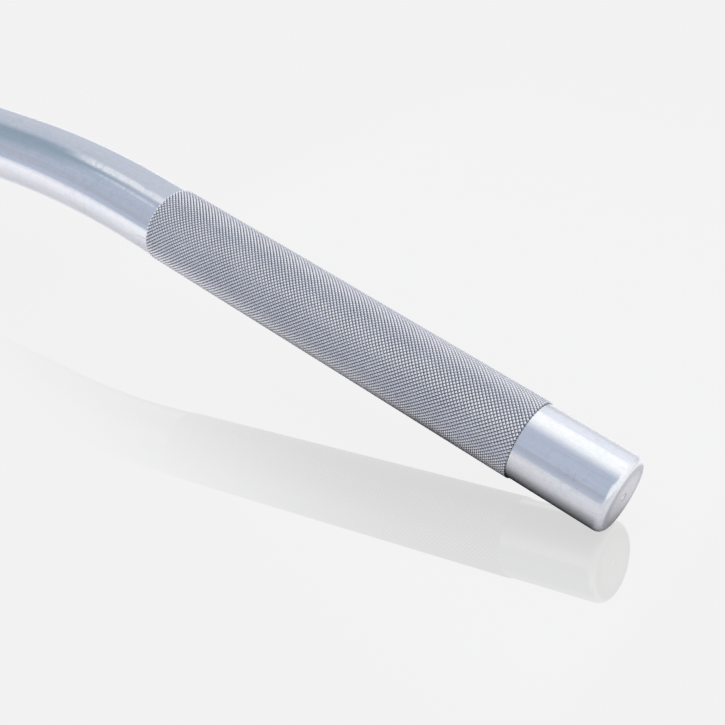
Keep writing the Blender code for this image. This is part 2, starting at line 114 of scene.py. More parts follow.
def shift(piece, way):
    """Moves the mesh and leaves the object at the origin."""
    with editing(piece):
        bpy.ops.transform.translate(value=way)


def clean(piece):
    """Merges doubles and turns every face outwards."""
    with editing(piece):
        bpy.ops.mesh.remove_doubles(threshold=MERGE)
        bpy.ops.mesh.normals_make_consistent(inside=False)


# %% Helpers that finish a piece
def modify(piece, kind, **settings):
    """Adds a modifier, makes its settings and applies it."""
    modifier = piece.modifiers.new(kind.lower(), kind)
    for key, value in settings.items():
        setattr(modifier, key, value)
    make_active(piece)
    bpy.ops.object.modifier_apply(modifier=modifier.name)


def soften_edges(piece, width, segments=3, angle=40):
    """Rounds every sharp edge a little, as tumbling, polishing and plating do."""
    limit = math.radians(angle)
    modify(
        piece, "BEVEL", width=width, segments=segments, limit_method="ANGLE", angle_limit=limit
    )


def cut(piece, cutter, operation="DIFFERENCE"):
    """Cuts with another shape, or joins it on, and throws that shape away."""
    modify(piece, "BOOLEAN", operation=operation, solver="EXACT", object=cutter)
    bpy.data.objects.remove(cutter, do_unlink=True)


def smooth(piece, angle=40, weighted=True):
    """Smooth shading with creases at sharp edges, and flat faces kept flat."""
    make_active(piece)
    bpy.ops.object.shade_smooth_by_angle(angle=math.radians(angle))
    if weighted:
        modify(piece, "WEIGHTED_NORMAL", keep_sharp=True)


def copy_of(piece, name):
    """A copy with its own mesh."""
    twin = piece.copy()
    twin.data = piece.data.copy()
    twin.name = twin.data.name = name
    bpy.context.scene.collection.objects.link(twin)
    return twin


def open_edges(piece):
    """How many edges don't have exactly two faces. A closed skin has none."""
    mesh = bmesh.new()
    mesh.from_mesh(piece.data)
    count = sum(1 for edge in mesh.edges if len(edge.link_faces) != 2)
    mesh.free()
    return count


def hand_over(piece, body, slot, finish, *nodes):
    """Says what a finished piece rides on, which CAD nodes it stands for and what finish it has. The
    slot is not used.
    """
    piece.data.materials.clear()
    piece.data.materials.append(finish)
    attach(piece, body)
    if nodes:
        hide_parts(*nodes)
    print(piece.name, len(piece.data.polygons), "faces on", body, "open edges", open_edges(piece))


# %% [markdown]
# ## Sizes of the bar
#
# These are the CAD model's own numbers, in metres. The middle of the bar runs along X at the height
# AXIS. Each handle slopes down by eleven degrees after a long bend. Along a handle, places are
# given as the distance from the tip: 36 mm of smooth end, then 163 mm of knurl, then the bend.

# %% Sizes of the bar
AXIS = -0.0925
BAR_RADIUS = 0.014
BAR_SIDES = 128
HANDLE_ANGLE = math.radians(11)
BEND_RADIUS = 0.350
TIP_X = 0.600
END_LENGTH = 0.036
GRIP_LENGTH = 0.163
INNER_LENGTH = 0.013
HANDLE_LENGTH = END_LENGTH + GRIP_LENGTH + INNER_LENGTH
EDGE_RADIUS = 0.003
SEAM = 0.00001  # hairline between the pieces that the bar is made of here
RUN, DROP = math.cos(HANDLE_ANGLE), math.sin(HANDLE_ANGLE)  # of one metre of handle
MIDDLE_HALF = TIP_X - HANDLE_LENGTH * RUN - BEND_RADIUS * DROP
TIP_Z = AXIS - BEND_RADIUS * (1 - RUN) - HANDLE_LENGTH * DROP
OUTWARDS = Vector((RUN, 0, -DROP))


def on_handle(distance):
    """The point on the right handle's axis at this distance from the tip."""
    return Vector((TIP_X, 0, TIP_Z)) - OUTWARDS * distance


print("bend starts at", round(MIDDLE_HALF, 4), "tip height", round(TIP_Z, 4))

# %% [markdown]
# ## Turned shapes
#
# Most of the hub is turned on a lathe. The same can be done here: half of the section is drawn as a
# chain of extruded vertices, and Spin carries it once round the axis. Rings and flanged bushes keep
# coming back, so each has a function for its section.

# %% Turning a profile
def turned(name, profile, axis="Z", sides=96, centre=(0, 0, AXIS)):
    """Turns a chain of (distance along the axis, radius) points, closed unless it starts at 0."""
    along, across = Vector((0, 0, 1)), Vector((1, 0, 0))
    if axis == "X":
        along, across = across, along
    points = [Vector(centre) + along * distance + across * radius for distance, radius in profile]
    if profile[0][1] > 0:
        points.append(points[0])
    piece = added(bpy.ops.mesh.primitive_plane_add, name, size=0.001, location=points[0])
    with editing(piece):
        bpy.ops.mesh.merge(type="CENTER")
        for here, there in zip(points, points[1:]):
            extrude(there - here)
        bpy.ops.mesh.select_all(action="SELECT")
        bpy.ops.mesh.spin(steps=sides, angle=2 * math.pi, center=centre, axis=along)
    clean(piece)
    return piece


# %% Sections
def quarter_round(centre, radius, start, steps):
    """Points of a quarter circle from this angle, in degrees."""
    points = []
    for step in range(steps + 1):
        angle = math.radians(start + 90 * step / steps)
        points.append((centre[0] + radius * math.cos(angle), centre[1] + radius * math.sin(angle)))
    return points


def ring_section(low, high, bore, outer, edge, lead=None):
    """A ring between two distances along its axis, chamfered by edge, and by lead at its bore."""
    lead = lead or edge
    return [
        (low, bore + lead), (low, outer - edge), (low + edge, outer), (high - edge, outer),
        (high, outer - edge), (high, bore + lead), (high - lead, bore), (low + lead, bore),
    ]


def flanged_section(foot, seat, top, bore, body, flange, edge, taper, seat_edge):
    """A bush with a tapered foot, and with a flange between seat and top."""
    return [
        (foot, bore + edge), (foot, body - 2 * edge), (foot + taper, body), (seat, body),
        (seat, flange - seat_edge), (seat + seat_edge, flange), (top - edge, flange),
        (top, flange - edge), (top, bore + edge), (top - edge, bore), (foot + edge, bore),
    ]


# %% [markdown]
# ## Finishes as formulas
#
# A finish is a small graph of shader nodes. Written as sums it stays readable, so one class wraps a
# node's socket: adding or multiplying two of them adds the Math node that does it. Colours go
# through Mix nodes, and every node is made by the same node() method.

# %% Shader sums
class Term:
    """A socket that can be used in a sum, and that adds other nodes to its tree."""

    def __init__(self, tree, socket):
        self.tree, self.socket = tree, socket

    def node(self, kind, sockets=None, output=0, **settings):
        """Adds a node, makes its settings first and then fills or links its sockets."""
        made = self.tree.nodes.new("ShaderNode" + kind)
        for key, value in settings.items():
            setattr(made, key, value)
        for key, value in (sockets or {}).items():
            if isinstance(value, Term):
                self.tree.links.new(value.socket, made.inputs[key])
            else:
                made.inputs[key].default_value = value
        return Term(self.tree, made.outputs[output])

    def math(self, operation, *others):
        return self.node("Math", dict(enumerate((self, *others))), operation=operation)

    def __add__(self, other):
        return self.math("ADD", other)

    def __sub__(self, other):
        return self.math("SUBTRACT", other)

    def __rsub__(self, other):
        return self * -1 + other

    def __mul__(self, other):
        return self.math("MULTIPLY", other)

    def __truediv__(self, other):
        return self.math("DIVIDE", other)

    __radd__, __rmul__ = __add__, __mul__

    def step(self, low, high):
        """Rises smoothly from 0 at low to 1 at high."""
        ends = {"Value": self, "From Min": low, "From Max": high}
        return self.node("MapRange", ends, interpolation_type="SMOOTHSTEP")

    def near(self, middle, core, edge):
        """1 within core of the middle, and 0 beyond edge."""
        return 1 - (self - middle).math("ABSOLUTE").step(core, edge)

    def mix(self, first, second):
        """Between two colours, which are a Mix node's sockets 6 and 7, with this as the share."""
        return self.node("Mix", {"Factor": self, 6: first, 7: second}, 2, data_type="RGBA")

    def shaders(self, first, second):
        """Between two shaders, with this as the share of the second."""
        return self.node("MixShader", {0: self, 1: first, 2: second})

    def stretched(self, scale, turn=(0, 0, 0)):
        """These coordinates turned and scaled."""
        return self.node("Mapping", {"Vector": self, "Rotation": turn, "Scale": scale})

    def noise(self, scale, detail, roughness):
        sockets = {"Vector": self, "Scale": scale, "Detail": detail, "Roughness": roughness}
        return self.node("TexNoise", sockets)

    def part(self, letter):
        return self.node("SeparateXYZ", {0: self}, "XYZ".index(letter))


# %% Making a finish
def colour(red, green, blue):
    return (red, green, blue, 1)


def new_finish(name, base, roughness, metallic=1.0):
    """A material with plain values on its shader, and its Object coordinates."""
    finish = bpy.data.materials.new(name)
    finish.use_nodes = True
    tree = finish.node_tree
    for key, value in (("Base Color", base), ("Roughness", roughness), ("Metallic", metallic)):
        tree.nodes["Principled BSDF"].inputs[key].default_value = value
    start = tree.nodes.new("ShaderNodeTexCoord")
    return finish, Term(tree, start.outputs["Object"])


def feed(finish, skin, rough, normal):
    """Links what changes over the surface to the finish's shader."""
    shader = finish.node_tree.nodes["Principled BSDF"]
    for key, term in (("Base Color", skin), ("Roughness", rough), ("Normal", normal)):
        term.tree.links.new(term.socket, shader.inputs[key])
    return finish


def bump(height, depth, under=None):
    """The normal of a small relief, whose height is a term and whose full depth is in microns."""
    sockets = {"Height": height, "Distance": depth / 1000000, "Strength": 1.0}
    if under:
        sockets["Normal"] = under
    return height.node("Bump", sockets)


# %% [markdown]
# ## Bright chrome
#
# Chrome plate is a mirror with a faint blue cast. What tells it from a computer's mirror is what
# has happened to it: polishing lines along the bar, smears from hands that dull it in patches,
# short fine scratches and a few dark specks. The smears change the roughness, which spreads a
# reflection, and tint it a little. The rest is a relief of a few thousandths of a millimetre.

# %% Places on the bar
CHROME = colour(0.905, 0.918, 0.94)
WORN_CHROME = colour(0.70, 0.713, 0.735)
COOL_CHROME = colour(0.855, 0.91, 0.935)
CUT_FACE = colour(0.66, 0.66, 0.67)
# darker rim of the cut face: a painted shade
SHADED_FACE_RIM = colour(0.47, 0.47, 0.49)
CENTRE_MARK = colour(0.40, 0.37, 0.34)


def handle_place(place):
    """How far a point lies beyond the tip along its handle, and how far from the handle's axis."""
    side = place.part("X").math("ABSOLUTE") - TIP_X
    rise = place.part("Z") - TIP_Z
    along = side * RUN - rise * DROP
    lift = side * DROP + rise * RUN
    across = place.part("Y")
    return along, (lift * lift + across * across).math("SQRT")


def along_bar(place):
    """Coordinates that run straight along the bar and follow it round its bends."""
    side = place.part("X").math("ABSOLUTE")
    across, height = place.part("Y"), place.part("Z")
    outwards = (side - MIDDLE_HALF).math("MAXIMUM", 0)
    upwards = height - (AXIS - BEND_RADIUS)
    bend_rise = (outwards * outwards + upwards * upwards).math("SQRT") - BEND_RADIUS
    handle_rise = (side - TIP_X) * DROP + (height - TIP_Z) * RUN
    past_bend = side.math("GREATER_THAN", on_handle(HANDLE_LENGTH).x)
    rise = past_bend * (handle_rise - bend_rise) + bend_rise
    return place.node("CombineXYZ", {0: side * 0.02, 1: across, 2: rise})


# %% Bright chrome
def chrome_finish(name, plain_roughness, has_face=False):
    """Plate with haze, polishing lines, scratches and specks, and perhaps a duller cut face whose
    rim is painted darker, a painted shade.
    """
    finish, place = new_finish(name, CHROME, plain_roughness)
    cloud = place.noise(55, 5, 0.62).step(0.38, 0.72)
    mottle = place.noise(430, 4, 0.65)
    haze = (cloud * 0.65 + 0.35) * mottle.step(0.40, 0.70)
    rod = along_bar(place)
    lines, streaks = rod.noise(1000, 3, 0.6), rod.noise(330, 2, 0.5)
    fine = place.noise(1500, 3, 0.7)
    hair = place.stretched((30, 700, 700), (0, 0.5, 0.4)).noise(1, 1, 0.5).step(0.67, 0.72)
    cross = place.stretched((600, 60, 60), (0, 0.9, -0.3)).noise(1, 1, 0.5).step(0.69, 0.73)
    scratch = (hair + cross) * place.noise(60, 1, 0.5).step(0.5, 0.6)
    speck = 1 - place.node("TexVoronoi", {"Vector": place, "Scale": 130}).step(0.035, 0.06)
    spot = speck * place.noise(45, 0, 0.5).step(0.6, 0.65)
    rough = haze * 0.15 + lines * 0.05 + scratch * 0.14 + plain_roughness
    cool = place.noise(75, 2, 0.5).step(0.48, 0.66)
    clear = (cool * 0.8).mix(CHROME, COOL_CHROME)
    worn_lines = lines.step(0.35, 0.7) * 0.2 + streaks.step(0.4, 0.65) * 0.16
    dull = haze * 0.4 + fine.step(0.35, 0.75) * 0.2 + worn_lines + scratch * 0.5
    skin = (dull + spot * 0.9).mix(clear, WORN_CHROME)
    relief = lines * 0.8 + scratch * -1.0 + spot * -0.6
    if has_face:
        along, radius = handle_place(place)
        face = along.step(-0.0005, 0)
        rounding = along.step(-0.0045, -0.002)
        rings = place.node("CombineXYZ", {0: along, 1: radius}).noise(1500, 2, 0.6)
        rough = rough + rounding * 0.09 + face * (rings * 0.12 + 0.12)
        # the cut face is painted darker towards its rim: painted shade
        cut_skin = (radius.step(0.0065, 0.0105) * 0.7 + rings * 0.3).mix(CUT_FACE, SHADED_FACE_RIM)
        cut_skin = radius.near(0, 0.0013, 0.0019).mix(cut_skin, CENTRE_MARK)
        skin = face.mix(skin, cut_skin)
        relief = relief + rings * (face * 1.5 + 0.5)
    wave = bump(place.stretched((0.35, 1, 1)).noise(70, 1, 0.4), 60)
    uneven = bump(mottle, 14, bump(streaks, 20, wave))
    return feed(finish, skin, rough, bump(relief, 4, uneven))


bright_chrome = chrome_finish("bright_chrome", 0.075)
print("made", bright_chrome.name)

# %% [markdown]
# ## The bar's middle and its two bends
#
# The real bar is a cold-drawn steel rod, bent in a former. The same is done here: a circle is
# extruded along the straight middle, spun round the middle of the bend and extruded down the handle
# as far as the knurl. Mirror makes the other half. The knurls and the ends are pieces of their own,
# because a knurl has so many faces that one mesh would be too heavy.

# %% Bar middle
BEND_STEPS = 28


def bar_middle():
    bar = added(
        bpy.ops.mesh.primitive_circle_add, "bar_middle", vertices=BAR_SIDES, radius=BAR_RADIUS,
        location=(0, 0, AXIS), rotation=(0, math.pi / 2, 0),
    )
    bend_centre = Vector((MIDDLE_HALF, 0, AXIS - BEND_RADIUS))
    end = on_handle(END_LENGTH + GRIP_LENGTH + SEAM)
    with editing(bar):
        extrude((MIDDLE_HALF, 0, 0))
        bpy.ops.mesh.spin(steps=BEND_STEPS, angle=-HANDLE_ANGLE, center=bend_centre, axis=(0, 1, 0))
        extrude(OUTWARDS * (INNER_LENGTH - SEAM))
        pick(bar, "verts", lambda vert: abs((vert.co - end).dot(OUTWARDS)) < 10 * MERGE)
        bpy.ops.mesh.edge_face_add()
    modify(bar, "MIRROR", use_axis=(True, False, False), merge_threshold=MERGE)
    clean(bar)
    smooth(bar)
    return bar


bar = bar_middle()
print("bar ends at", max(vert.co.x for vert in bar.data.vertices))
hand_over(bar, "bar", "bar_chrome", bright_chrome, "bent_bar")

# %% [markdown]
# ## The ends of the bar
#
# Each end is faced on a lathe, its edge is rounded with a form tool, and a centre drill has left a
# small cone in the middle, where the rod was held for knurling. That is a turned profile from the
# cone's bottom out to the knurl, turned along X and then tipped onto the slope of the handle. The
# plate is thin in the middle of the cut face, which looks grey and shows the rings of the tool.

# %% Bar ends
MARK_RADIUS = 0.0016
MARK_DEPTH = 0.0018
PILOT_RADIUS = 0.0005
PILOT_START = 0.0012


def onto_handle(piece, side):
    """Tips a piece that lies along X, its tip at the origin, onto the right or left handle."""
    slope = -side * HANDLE_ANGLE
    with editing(piece):
        if side < 0:
            bpy.ops.transform.rotate(value=math.pi, orient_axis="Z", center_override=ORIGIN)
        bpy.ops.transform.rotate(value=slope, orient_axis="Y", center_override=ORIGIN)
        bpy.ops.transform.translate(value=(side * TIP_X, 0, TIP_Z))


def bar_end():
    face = BAR_RADIUS - EDGE_RADIUS
    edge = 0.0001
    profile = [
        (-MARK_DEPTH, 0),
        (-MARK_DEPTH + 2 * edge, PILOT_RADIUS),
        (-PILOT_START, PILOT_RADIUS),
        (-edge, MARK_RADIUS - edge),
        (0, MARK_RADIUS + edge),
        (0, face * 0.6),
    ]
    profile += quarter_round((-EDGE_RADIUS, face), EDGE_RADIUS, 0, 12)
    profile += [(SEAM - END_LENGTH, BAR_RADIUS), (SEAM - END_LENGTH, 0)]
    end = turned("bar_end_right", profile, "X", BAR_SIDES, ORIGIN)
    smooth(end)
    return end


end_chrome = chrome_finish("end_chrome", 0.085, has_face=True)
end_right = bar_end()
end_left = copy_of(end_right, "bar_end_left")
for end, side in ((end_right, 1), (end_left, -1)):
    onto_handle(end, side)
    hand_over(end, "bar", "bar_chrome", end_chrome, "bent_bar")

# %% [markdown]
# ## The knurl
#
# Two hard wheels with slanting teeth are pressed into the turning bar. Each leaves a family of
# spiral grooves, and where the families cross, small diamonds with blunt tops stand up a little
# over the bar. A relief in the material would look flat at the outline, so each diamond is
# modelled: one four-sided pyramid with its top cut off, copied round the bar and then along it. A
# second set, half a step along and half a step round, fills the gaps. Every diamond has five faces.

# %% One diamond
KNURL_ROUND = 57  # diamonds in one turn
KNURL_ALONG = 104  # diamonds along the grip
KNURL_TOP = BAR_RADIUS + 0.0005
KNURL_VALLEY = BAR_RADIUS - 0.00005
DIAMOND_LENGTH = GRIP_LENGTH / KNURL_ALONG
DIAMOND_TURN = 2 * math.pi / KNURL_ROUND
DIAMOND_SLOPE = 0.00043  # width of a diamond's side, seen from above


def diamond():
    """One blunt pyramid on top of the bar, its corners in the bottoms of the grooves."""
    middle = (0, 0, KNURL_VALLEY)
    radius = DIAMOND_LENGTH / 2
    piece = added(
        bpy.ops.mesh.primitive_circle_add, "grip_knurl_right", vertices=4, radius=radius,
        fill_type="NGON", location=middle,
    )
    half_width = KNURL_VALLEY * math.sin(DIAMOND_TURN / 2)
    drop = KNURL_VALLEY * (1 - math.cos(DIAMOND_TURN / 2))
    low = KNURL_VALLEY + MERGE
    with editing(piece, "FACE"):
        bpy.ops.transform.resize(value=(1, half_width / radius, 1), center_override=middle)
        bpy.ops.mesh.inset(thickness=DIAMOND_SLOPE)
        bpy.ops.transform.translate(value=(0, 0, KNURL_TOP - KNURL_VALLEY))
        bpy.ops.mesh.select_mode(type="VERT")
        pick(piece, "verts", lambda vert: vert.co.z < low and abs(vert.co.y) > half_width / 2)
        bpy.ops.transform.translate(value=(0, 0, -drop))
    return piece


# %% Round the bar and along the grip
def knurl_ring(piece):
    """Copies the diamond round the bar, and adds the second set in the gaps."""
    copies = KNURL_ROUND - 1
    turn = copies * DIAMOND_TURN
    with editing(piece):
        bpy.ops.mesh.spin(steps=copies, dupli=True, angle=turn, center=ORIGIN, axis=(1, 0, 0))
        bpy.ops.mesh.select_all(action="SELECT")
        bpy.ops.mesh.duplicate_move(TRANSFORM_OT_translate={"value": (DIAMOND_LENGTH / 2, 0, 0)})
        bpy.ops.transform.rotate(value=DIAMOND_TURN / 2, orient_axis="X", center_override=ORIGIN)


def knurl_sleeve(piece):
    """Repeats the ring along the grip and cuts both ends square."""
    modify(
        piece, "ARRAY", count=KNURL_ALONG + 2, use_relative_offset=False,
        use_constant_offset=True, constant_offset_displace=(-DIAMOND_LENGTH, 0, 0),
    )
    with editing(piece):
        bpy.ops.mesh.remove_doubles(threshold=2 * MERGE)
        for place, outwards in ((0, 1), (-GRIP_LENGTH, -1)):
            bpy.ops.mesh.select_all(action="SELECT")
            bpy.ops.mesh.bisect(
                plane_co=(place, 0, 0), plane_no=(outwards, 0, 0), clear_outer=True,
                threshold=MERGE / 10,
            )
            pick(piece, "verts", lambda vert: abs(vert.co.x - place) < 2 * MERGE)
            bpy.ops.mesh.edge_face_add()


knurl_right = diamond()
shift(knurl_right, (DIAMOND_LENGTH / 2, 0, 0))
knurl_ring(knurl_right)
knurl_sleeve(knurl_right)
shift(knurl_right, (-END_LENGTH, 0, 0))
clean(knurl_right)
smooth(knurl_right, angle=75, weighted=False)
radii = [math.hypot(vert.co.y, vert.co.z) for vert in knurl_right.data.vertices]
print("knurl radii", min(radii), max(radii), "faces", len(knurl_right.data.polygons))
knurl_left = copy_of(knurl_right, "grip_knurl_left")

# %% [markdown]
# The knurl is plated with the bar, but its flanks are torn and small, so it looks satin. The tops
# are polished by hands. Dust and hand grease stay in the grooves, and the grooves are also painted
# darker as painted shade. The height over the bar's axis tells tops from grooves.

# %% Knurl finish
def knurl_finish():
    finish, place = new_finish("knurled_chrome", CHROME, 0.3)
    radius = handle_place(place)[1]
    height = radius.step(KNURL_VALLEY, KNURL_TOP - 0.0001)
    grain, torn = place.noise(2600, 2, 0.6), place.noise(1100, 2, 0.6)
    patch = place.noise(60, 3, 0.5)
    # grooves darker: dust and grease, and painted shade in the grooves
    groove_grime_and_shade = (1 - height) * (patch * 0.4 + torn * 0.6 + 0.4)
    skin = groove_grime_and_shade.mix(colour(0.92, 0.93, 0.96), colour(0.27, 0.27, 0.30))
    rough = groove_grime_and_shade * 0.16 + patch * 0.06 + grain * 0.08 + 0.10
    return feed(finish, skin, rough, bump(grain, 30, bump(torn, 120)))


knurled_chrome = knurl_finish()
for grip, side in ((knurl_right, 1), (knurl_left, -1)):
    onto_handle(grip, side)
    hand_over(grip, "bar", "bar_chrome", knurled_chrome, "bent_bar")

# %% [markdown]
# ## Finishes of the hub
#
# The hub's parts come off a lathe, and a lathe leaves fine rings: round the axis on a cylinder, and
# round the centre on an end face. Both are the same pattern when noise is read at (place along the
# axis, distance from it), so one formula serves every turned part. Patches of handling and oil lie
# over the rings.

# %% Turned finishes
def turned_finish(name, base, stain, roughness, axis, depth, metallic=1.0):
    """Metal or plastic turned about the bar's axis (X) or the swivel's (Z)."""
    finish, place = new_finish(name, base, roughness, metallic)
    x, y, z = (place.part(letter) for letter in "XYZ")
    along, first, second = (x, y, z - AXIS) if axis == "X" else (z, x, y)
    radius = (first * first + second * second).math("SQRT")
    rings = place.node("CombineXYZ", {0: along, 1: radius}).noise(1600, 3, 0.65)
    patch = place.noise(140, 4, 0.6).step(0.35, 0.75)
    grain = place.noise(2600, 2, 0.6)
    skin = (patch * 0.7 + rings * 0.3).mix(base, stain)
    rough = rings * 0.10 + patch * 0.08 + (roughness - 0.06)
    return feed(finish, skin, rough, bump(rings + grain * 0.3, depth))


turned_steel = turned_finish(
    "turned_steel", colour(0.68, 0.69, 0.71), colour(0.58, 0.59, 0.60), 0.26, "X", 8
)
washer_steel = turned_finish(
    "washer_steel", colour(0.66, 0.66, 0.65), colour(0.56, 0.56, 0.54), 0.22, "X", 4
)
ground_steel = turned_finish(
    "ground_steel", colour(0.46, 0.47, 0.49), colour(0.36, 0.36, 0.38), 0.18, "Z", 3
)
bearing_bronze = turned_finish(
    "bearing_bronze", colour(0.62, 0.42, 0.20), colour(0.43, 0.27, 0.13), 0.30, "Z", 8
)
acetal, worn_acetal = colour(0.018, 0.018, 0.020), colour(0.036, 0.036, 0.038)
black_acetal = turned_finish("black_acetal", acetal, worn_acetal, 0.38, "X", 10, metallic=0.0)
print("turned finishes ready")

# %% [markdown]
# The strap is flat bar, linished along its length before plating, so its marks are straight lines.
# The weld beads are plated with it and only have a fine grain. Zinc plate is bluish with patches
# that lean to yellow. Black oxide is a thin dark skin that wears to brown-grey in patches. The eye
# is a forging, so its chrome lies over a slightly uneven skin with a trimmed parting line.

# %% Plated and oxidised finishes
def linished_finish():
    base = colour(0.78, 0.79, 0.81)
    finish, place = new_finish("satin_chrome", base, 0.26)
    lines = place.stretched((1, 0.02, 0.02)).noise(1500, 3, 0.6)
    patch = place.noise(90, 3, 0.55).step(0.35, 0.75)
    skin = (patch * 0.8).mix(base, colour(0.70, 0.71, 0.74))
    return feed(finish, skin, lines * 0.14 + patch * 0.07 + 0.15, bump(lines, 8))


def bead_finish():
    base = colour(0.76, 0.77, 0.79)
    finish, place = new_finish("plated_bead", base, 0.24)
    grain, patch = place.noise(1100, 4, 0.65), place.noise(220, 2, 0.5)
    skin = patch.mix(base, colour(0.66, 0.67, 0.70))
    return feed(finish, skin, grain * 0.16 + 0.14, bump(grain, 20))


def zinc_finish():
    blue, yellow = colour(0.58, 0.61, 0.66), colour(0.68, 0.65, 0.56)
    finish, place = new_finish("zinc_plate", blue, 0.34)
    patch = place.noise(110, 3, 0.6).step(0.45, 0.75)
    grain = place.noise(1900, 3, 0.65)
    skin = (patch * 0.75).mix(blue, yellow)
    return feed(finish, skin, grain * 0.16 + patch * 0.06 + 0.22, bump(grain, 12))


def oxide_finish():
    black, brown = colour(0.040, 0.040, 0.045), colour(0.085, 0.072, 0.062)
    finish, place = new_finish("black_oxide", black, 0.36)
    patch = place.noise(420, 3, 0.6).step(0.45, 0.75)
    grain = place.noise(3200, 3, 0.6)
    return feed(finish, patch.mix(black, brown), grain * 0.18 + 0.26, bump(grain, 10))


def forged_finish():
    base = colour(0.82, 0.83, 0.85)
    finish, place = new_finish("forged_chrome", base, 0.12)
    uneven = place.noise(320, 3, 0.55)
    patch = place.noise(70, 3, 0.55).step(0.4, 0.75)
    parting = place.part("Y").near(0, 0.00025, 0.0006) * place.part("Z").step(-0.026, -0.022)
    skin = (patch * 0.6).mix(base, colour(0.72, 0.73, 0.76))
    rough = uneven * 0.06 + patch * 0.10 + parting * 0.12 + 0.07
    return feed(finish, skin, rough, bump(uneven + parting * 1.6, 40))


satin_chrome, plated_bead = linished_finish(), bead_finish()
zinc_plate, black_oxide, forged_chrome = zinc_finish(), oxide_finish(), forged_finish()
print("plated finishes ready")

# %% [markdown]
# ## Sleeve, bushes and side washers
#
# The sleeve is a short tube with chamfered ends. A flanged acetal bush is pushed into each end. It
# is slit along the bottom, because it has to open to go over the bar. A thin stainless washer runs
# between its flange and the collar. All three are turned profiles.

# %% Sleeve
SLEEVE_HALF = 0.038
SLEEVE_RADIUS = 0.0210
SLEEVE_BORE = 0.0170
SLEEVE_CHAMFER = 0.001
SLEEVE_LEAD_IN = 0.0006

section = ring_section(
    -SLEEVE_HALF, SLEEVE_HALF, SLEEVE_BORE, SLEEVE_RADIUS, SLEEVE_CHAMFER, SLEEVE_LEAD_IN
)
sleeve = turned("sleeve_tube", section, "X", 128)
soften_edges(sleeve, 0.0002, 2, 30)
smooth(sleeve)
hand_over(sleeve, "hub", "sleeve_chrome", bright_chrome, "hub_sleeve")

# %% [markdown]
# The hub is the same to the left and to the right. A part is modelled at the right, and its twin is
# scaled by -1 along X in edit mode. That turns the mesh inside out, so its faces are turned back.

# %% Bushes and side washers
BUSH_FOOT, FLANGE_SEAT, FLANGE_TOP = 0.0143, 0.0383, 0.0408
BUSH_BORE, BUSH_RADIUS, FLANGE_RADIUS = 0.0143, 0.0167, 0.0200
WASHER_FACE, WASHER_BACK, WASHER_BORE = 0.0411, 0.0426, 0.0150
SLIT_WIDTH = 0.0012


def mirrored(piece, name, flip=(-1, 1, 1)):
    twin = copy_of(piece, name)
    with editing(twin, "FACE"):
        bpy.ops.transform.resize(value=flip, center_override=ORIGIN)
        bpy.ops.mesh.normals_make_consistent(inside=False)
    return twin


def flanged_bush():
    section = flanged_section(
        BUSH_FOOT, FLANGE_SEAT, FLANGE_TOP, BUSH_BORE, BUSH_RADIUS, FLANGE_RADIUS,
        edge=0.0004, taper=0.0012, seat_edge=0.0002,
    )
    bush = turned("flanged_bush_right", section, "X")
    middle = ((BUSH_FOOT + FLANGE_TOP) / 2, 0, AXIS - FLANGE_RADIUS)
    size = (0.03, SLIT_WIDTH, 0.013)
    slit = added(bpy.ops.mesh.primitive_cube_add, "slit", size=1, location=middle, scale=size)
    cut(bush, slit)
    return bush


bush_right = flanged_bush()
ring = ring_section(WASHER_FACE, WASHER_BACK, WASHER_BORE, FLANGE_RADIUS, 0.0002)
washer_right = turned("side_washer_ring_right", ring, "X")
bush_left = mirrored(bush_right, "flanged_bush_left")
washer_left = mirrored(washer_right, "side_washer_ring_left")
for label, bush, washer in (("right", bush_right, washer_right), ("left", bush_left, washer_left)):
    smooth(bush)
    smooth(washer)
    hand_over(bush, "hub", "bush_acetal", black_acetal, "sleeve_bush_" + label)
    hand_over(washer, "hub", "washer_stainless", washer_steel, "side_washer_" + label)

# %% [markdown]
# ## Clamp collars
#
# A collar in two halves stands outside each washer and is clamped to the bar, so it goes round with
# the bar. A ring is turned, Bisect takes away what lies beyond the split, and the edges are
# rounded. The upper half gets a clearance hole and a counterbore for each screw, the lower half the
# tapped hole. Each hole is a turned cutter.

# %% Collar halves
COLLAR_FACE = 0.0429
COLLAR_BACK = 0.0579
COLLAR_MIDDLE = (COLLAR_FACE + COLLAR_BACK) / 2
COLLAR_BORE = 0.0143
COLLAR_RADIUS = 0.0250
HALF_SPLIT = 0.00075
SCREW_OFFSET = 0.01965
HOLE_RADIUS = 0.0033
HEAD_SEAT, SEAT_RADIUS = 0.0060, 0.0053
TAPPED_DEPTH, TAPPED_RADIUS, DRILL_POINT = -0.0087, 0.0030, 0.0015
MOUTH_RADIUS = 0.0036
MOUTH_LOW, MOUTH_HIGH = -HALF_SPLIT - 0.0003, -HALF_SPLIT + 0.0003

COUNTERBORE = [  # each cutter starts and ends clear of the metal
    (-0.005, 0), (-0.005, HOLE_RADIUS), (HEAD_SEAT, HOLE_RADIUS),
    (HEAD_SEAT, SEAT_RADIUS), (0.03, SEAT_RADIUS), (0.03, 0),
]
TAPPED_HOLE = [
    (TAPPED_DEPTH - DRILL_POINT, 0), (TAPPED_DEPTH, TAPPED_RADIUS), (MOUTH_LOW, TAPPED_RADIUS),
    (MOUTH_HIGH, MOUTH_RADIUS), (0.01, MOUTH_RADIUS), (0.01, 0),
]


def collar_half(name, direction, hole):
    """The half above the split (direction 1) or below it (-1)."""
    section = [
        (COLLAR_FACE, COLLAR_BORE), (COLLAR_FACE, COLLAR_RADIUS),
        (COLLAR_BACK, COLLAR_RADIUS), (COLLAR_BACK, COLLAR_BORE),
    ]
    half = turned(name, section, "X", 128)
    split = (0, 0, AXIS + direction * HALF_SPLIT)
    way = (0, 0, direction)
    with editing(half):
        bpy.ops.mesh.bisect(plane_co=split, plane_no=way, clear_inner=True, use_fill=True)
    soften_edges(half, 0.0007)
    for side in (-1, 1):
        cut(half, turned("hole", hole, sides=48, centre=(COLLAR_MIDDLE, side * SCREW_OFFSET, AXIS)))
    return half


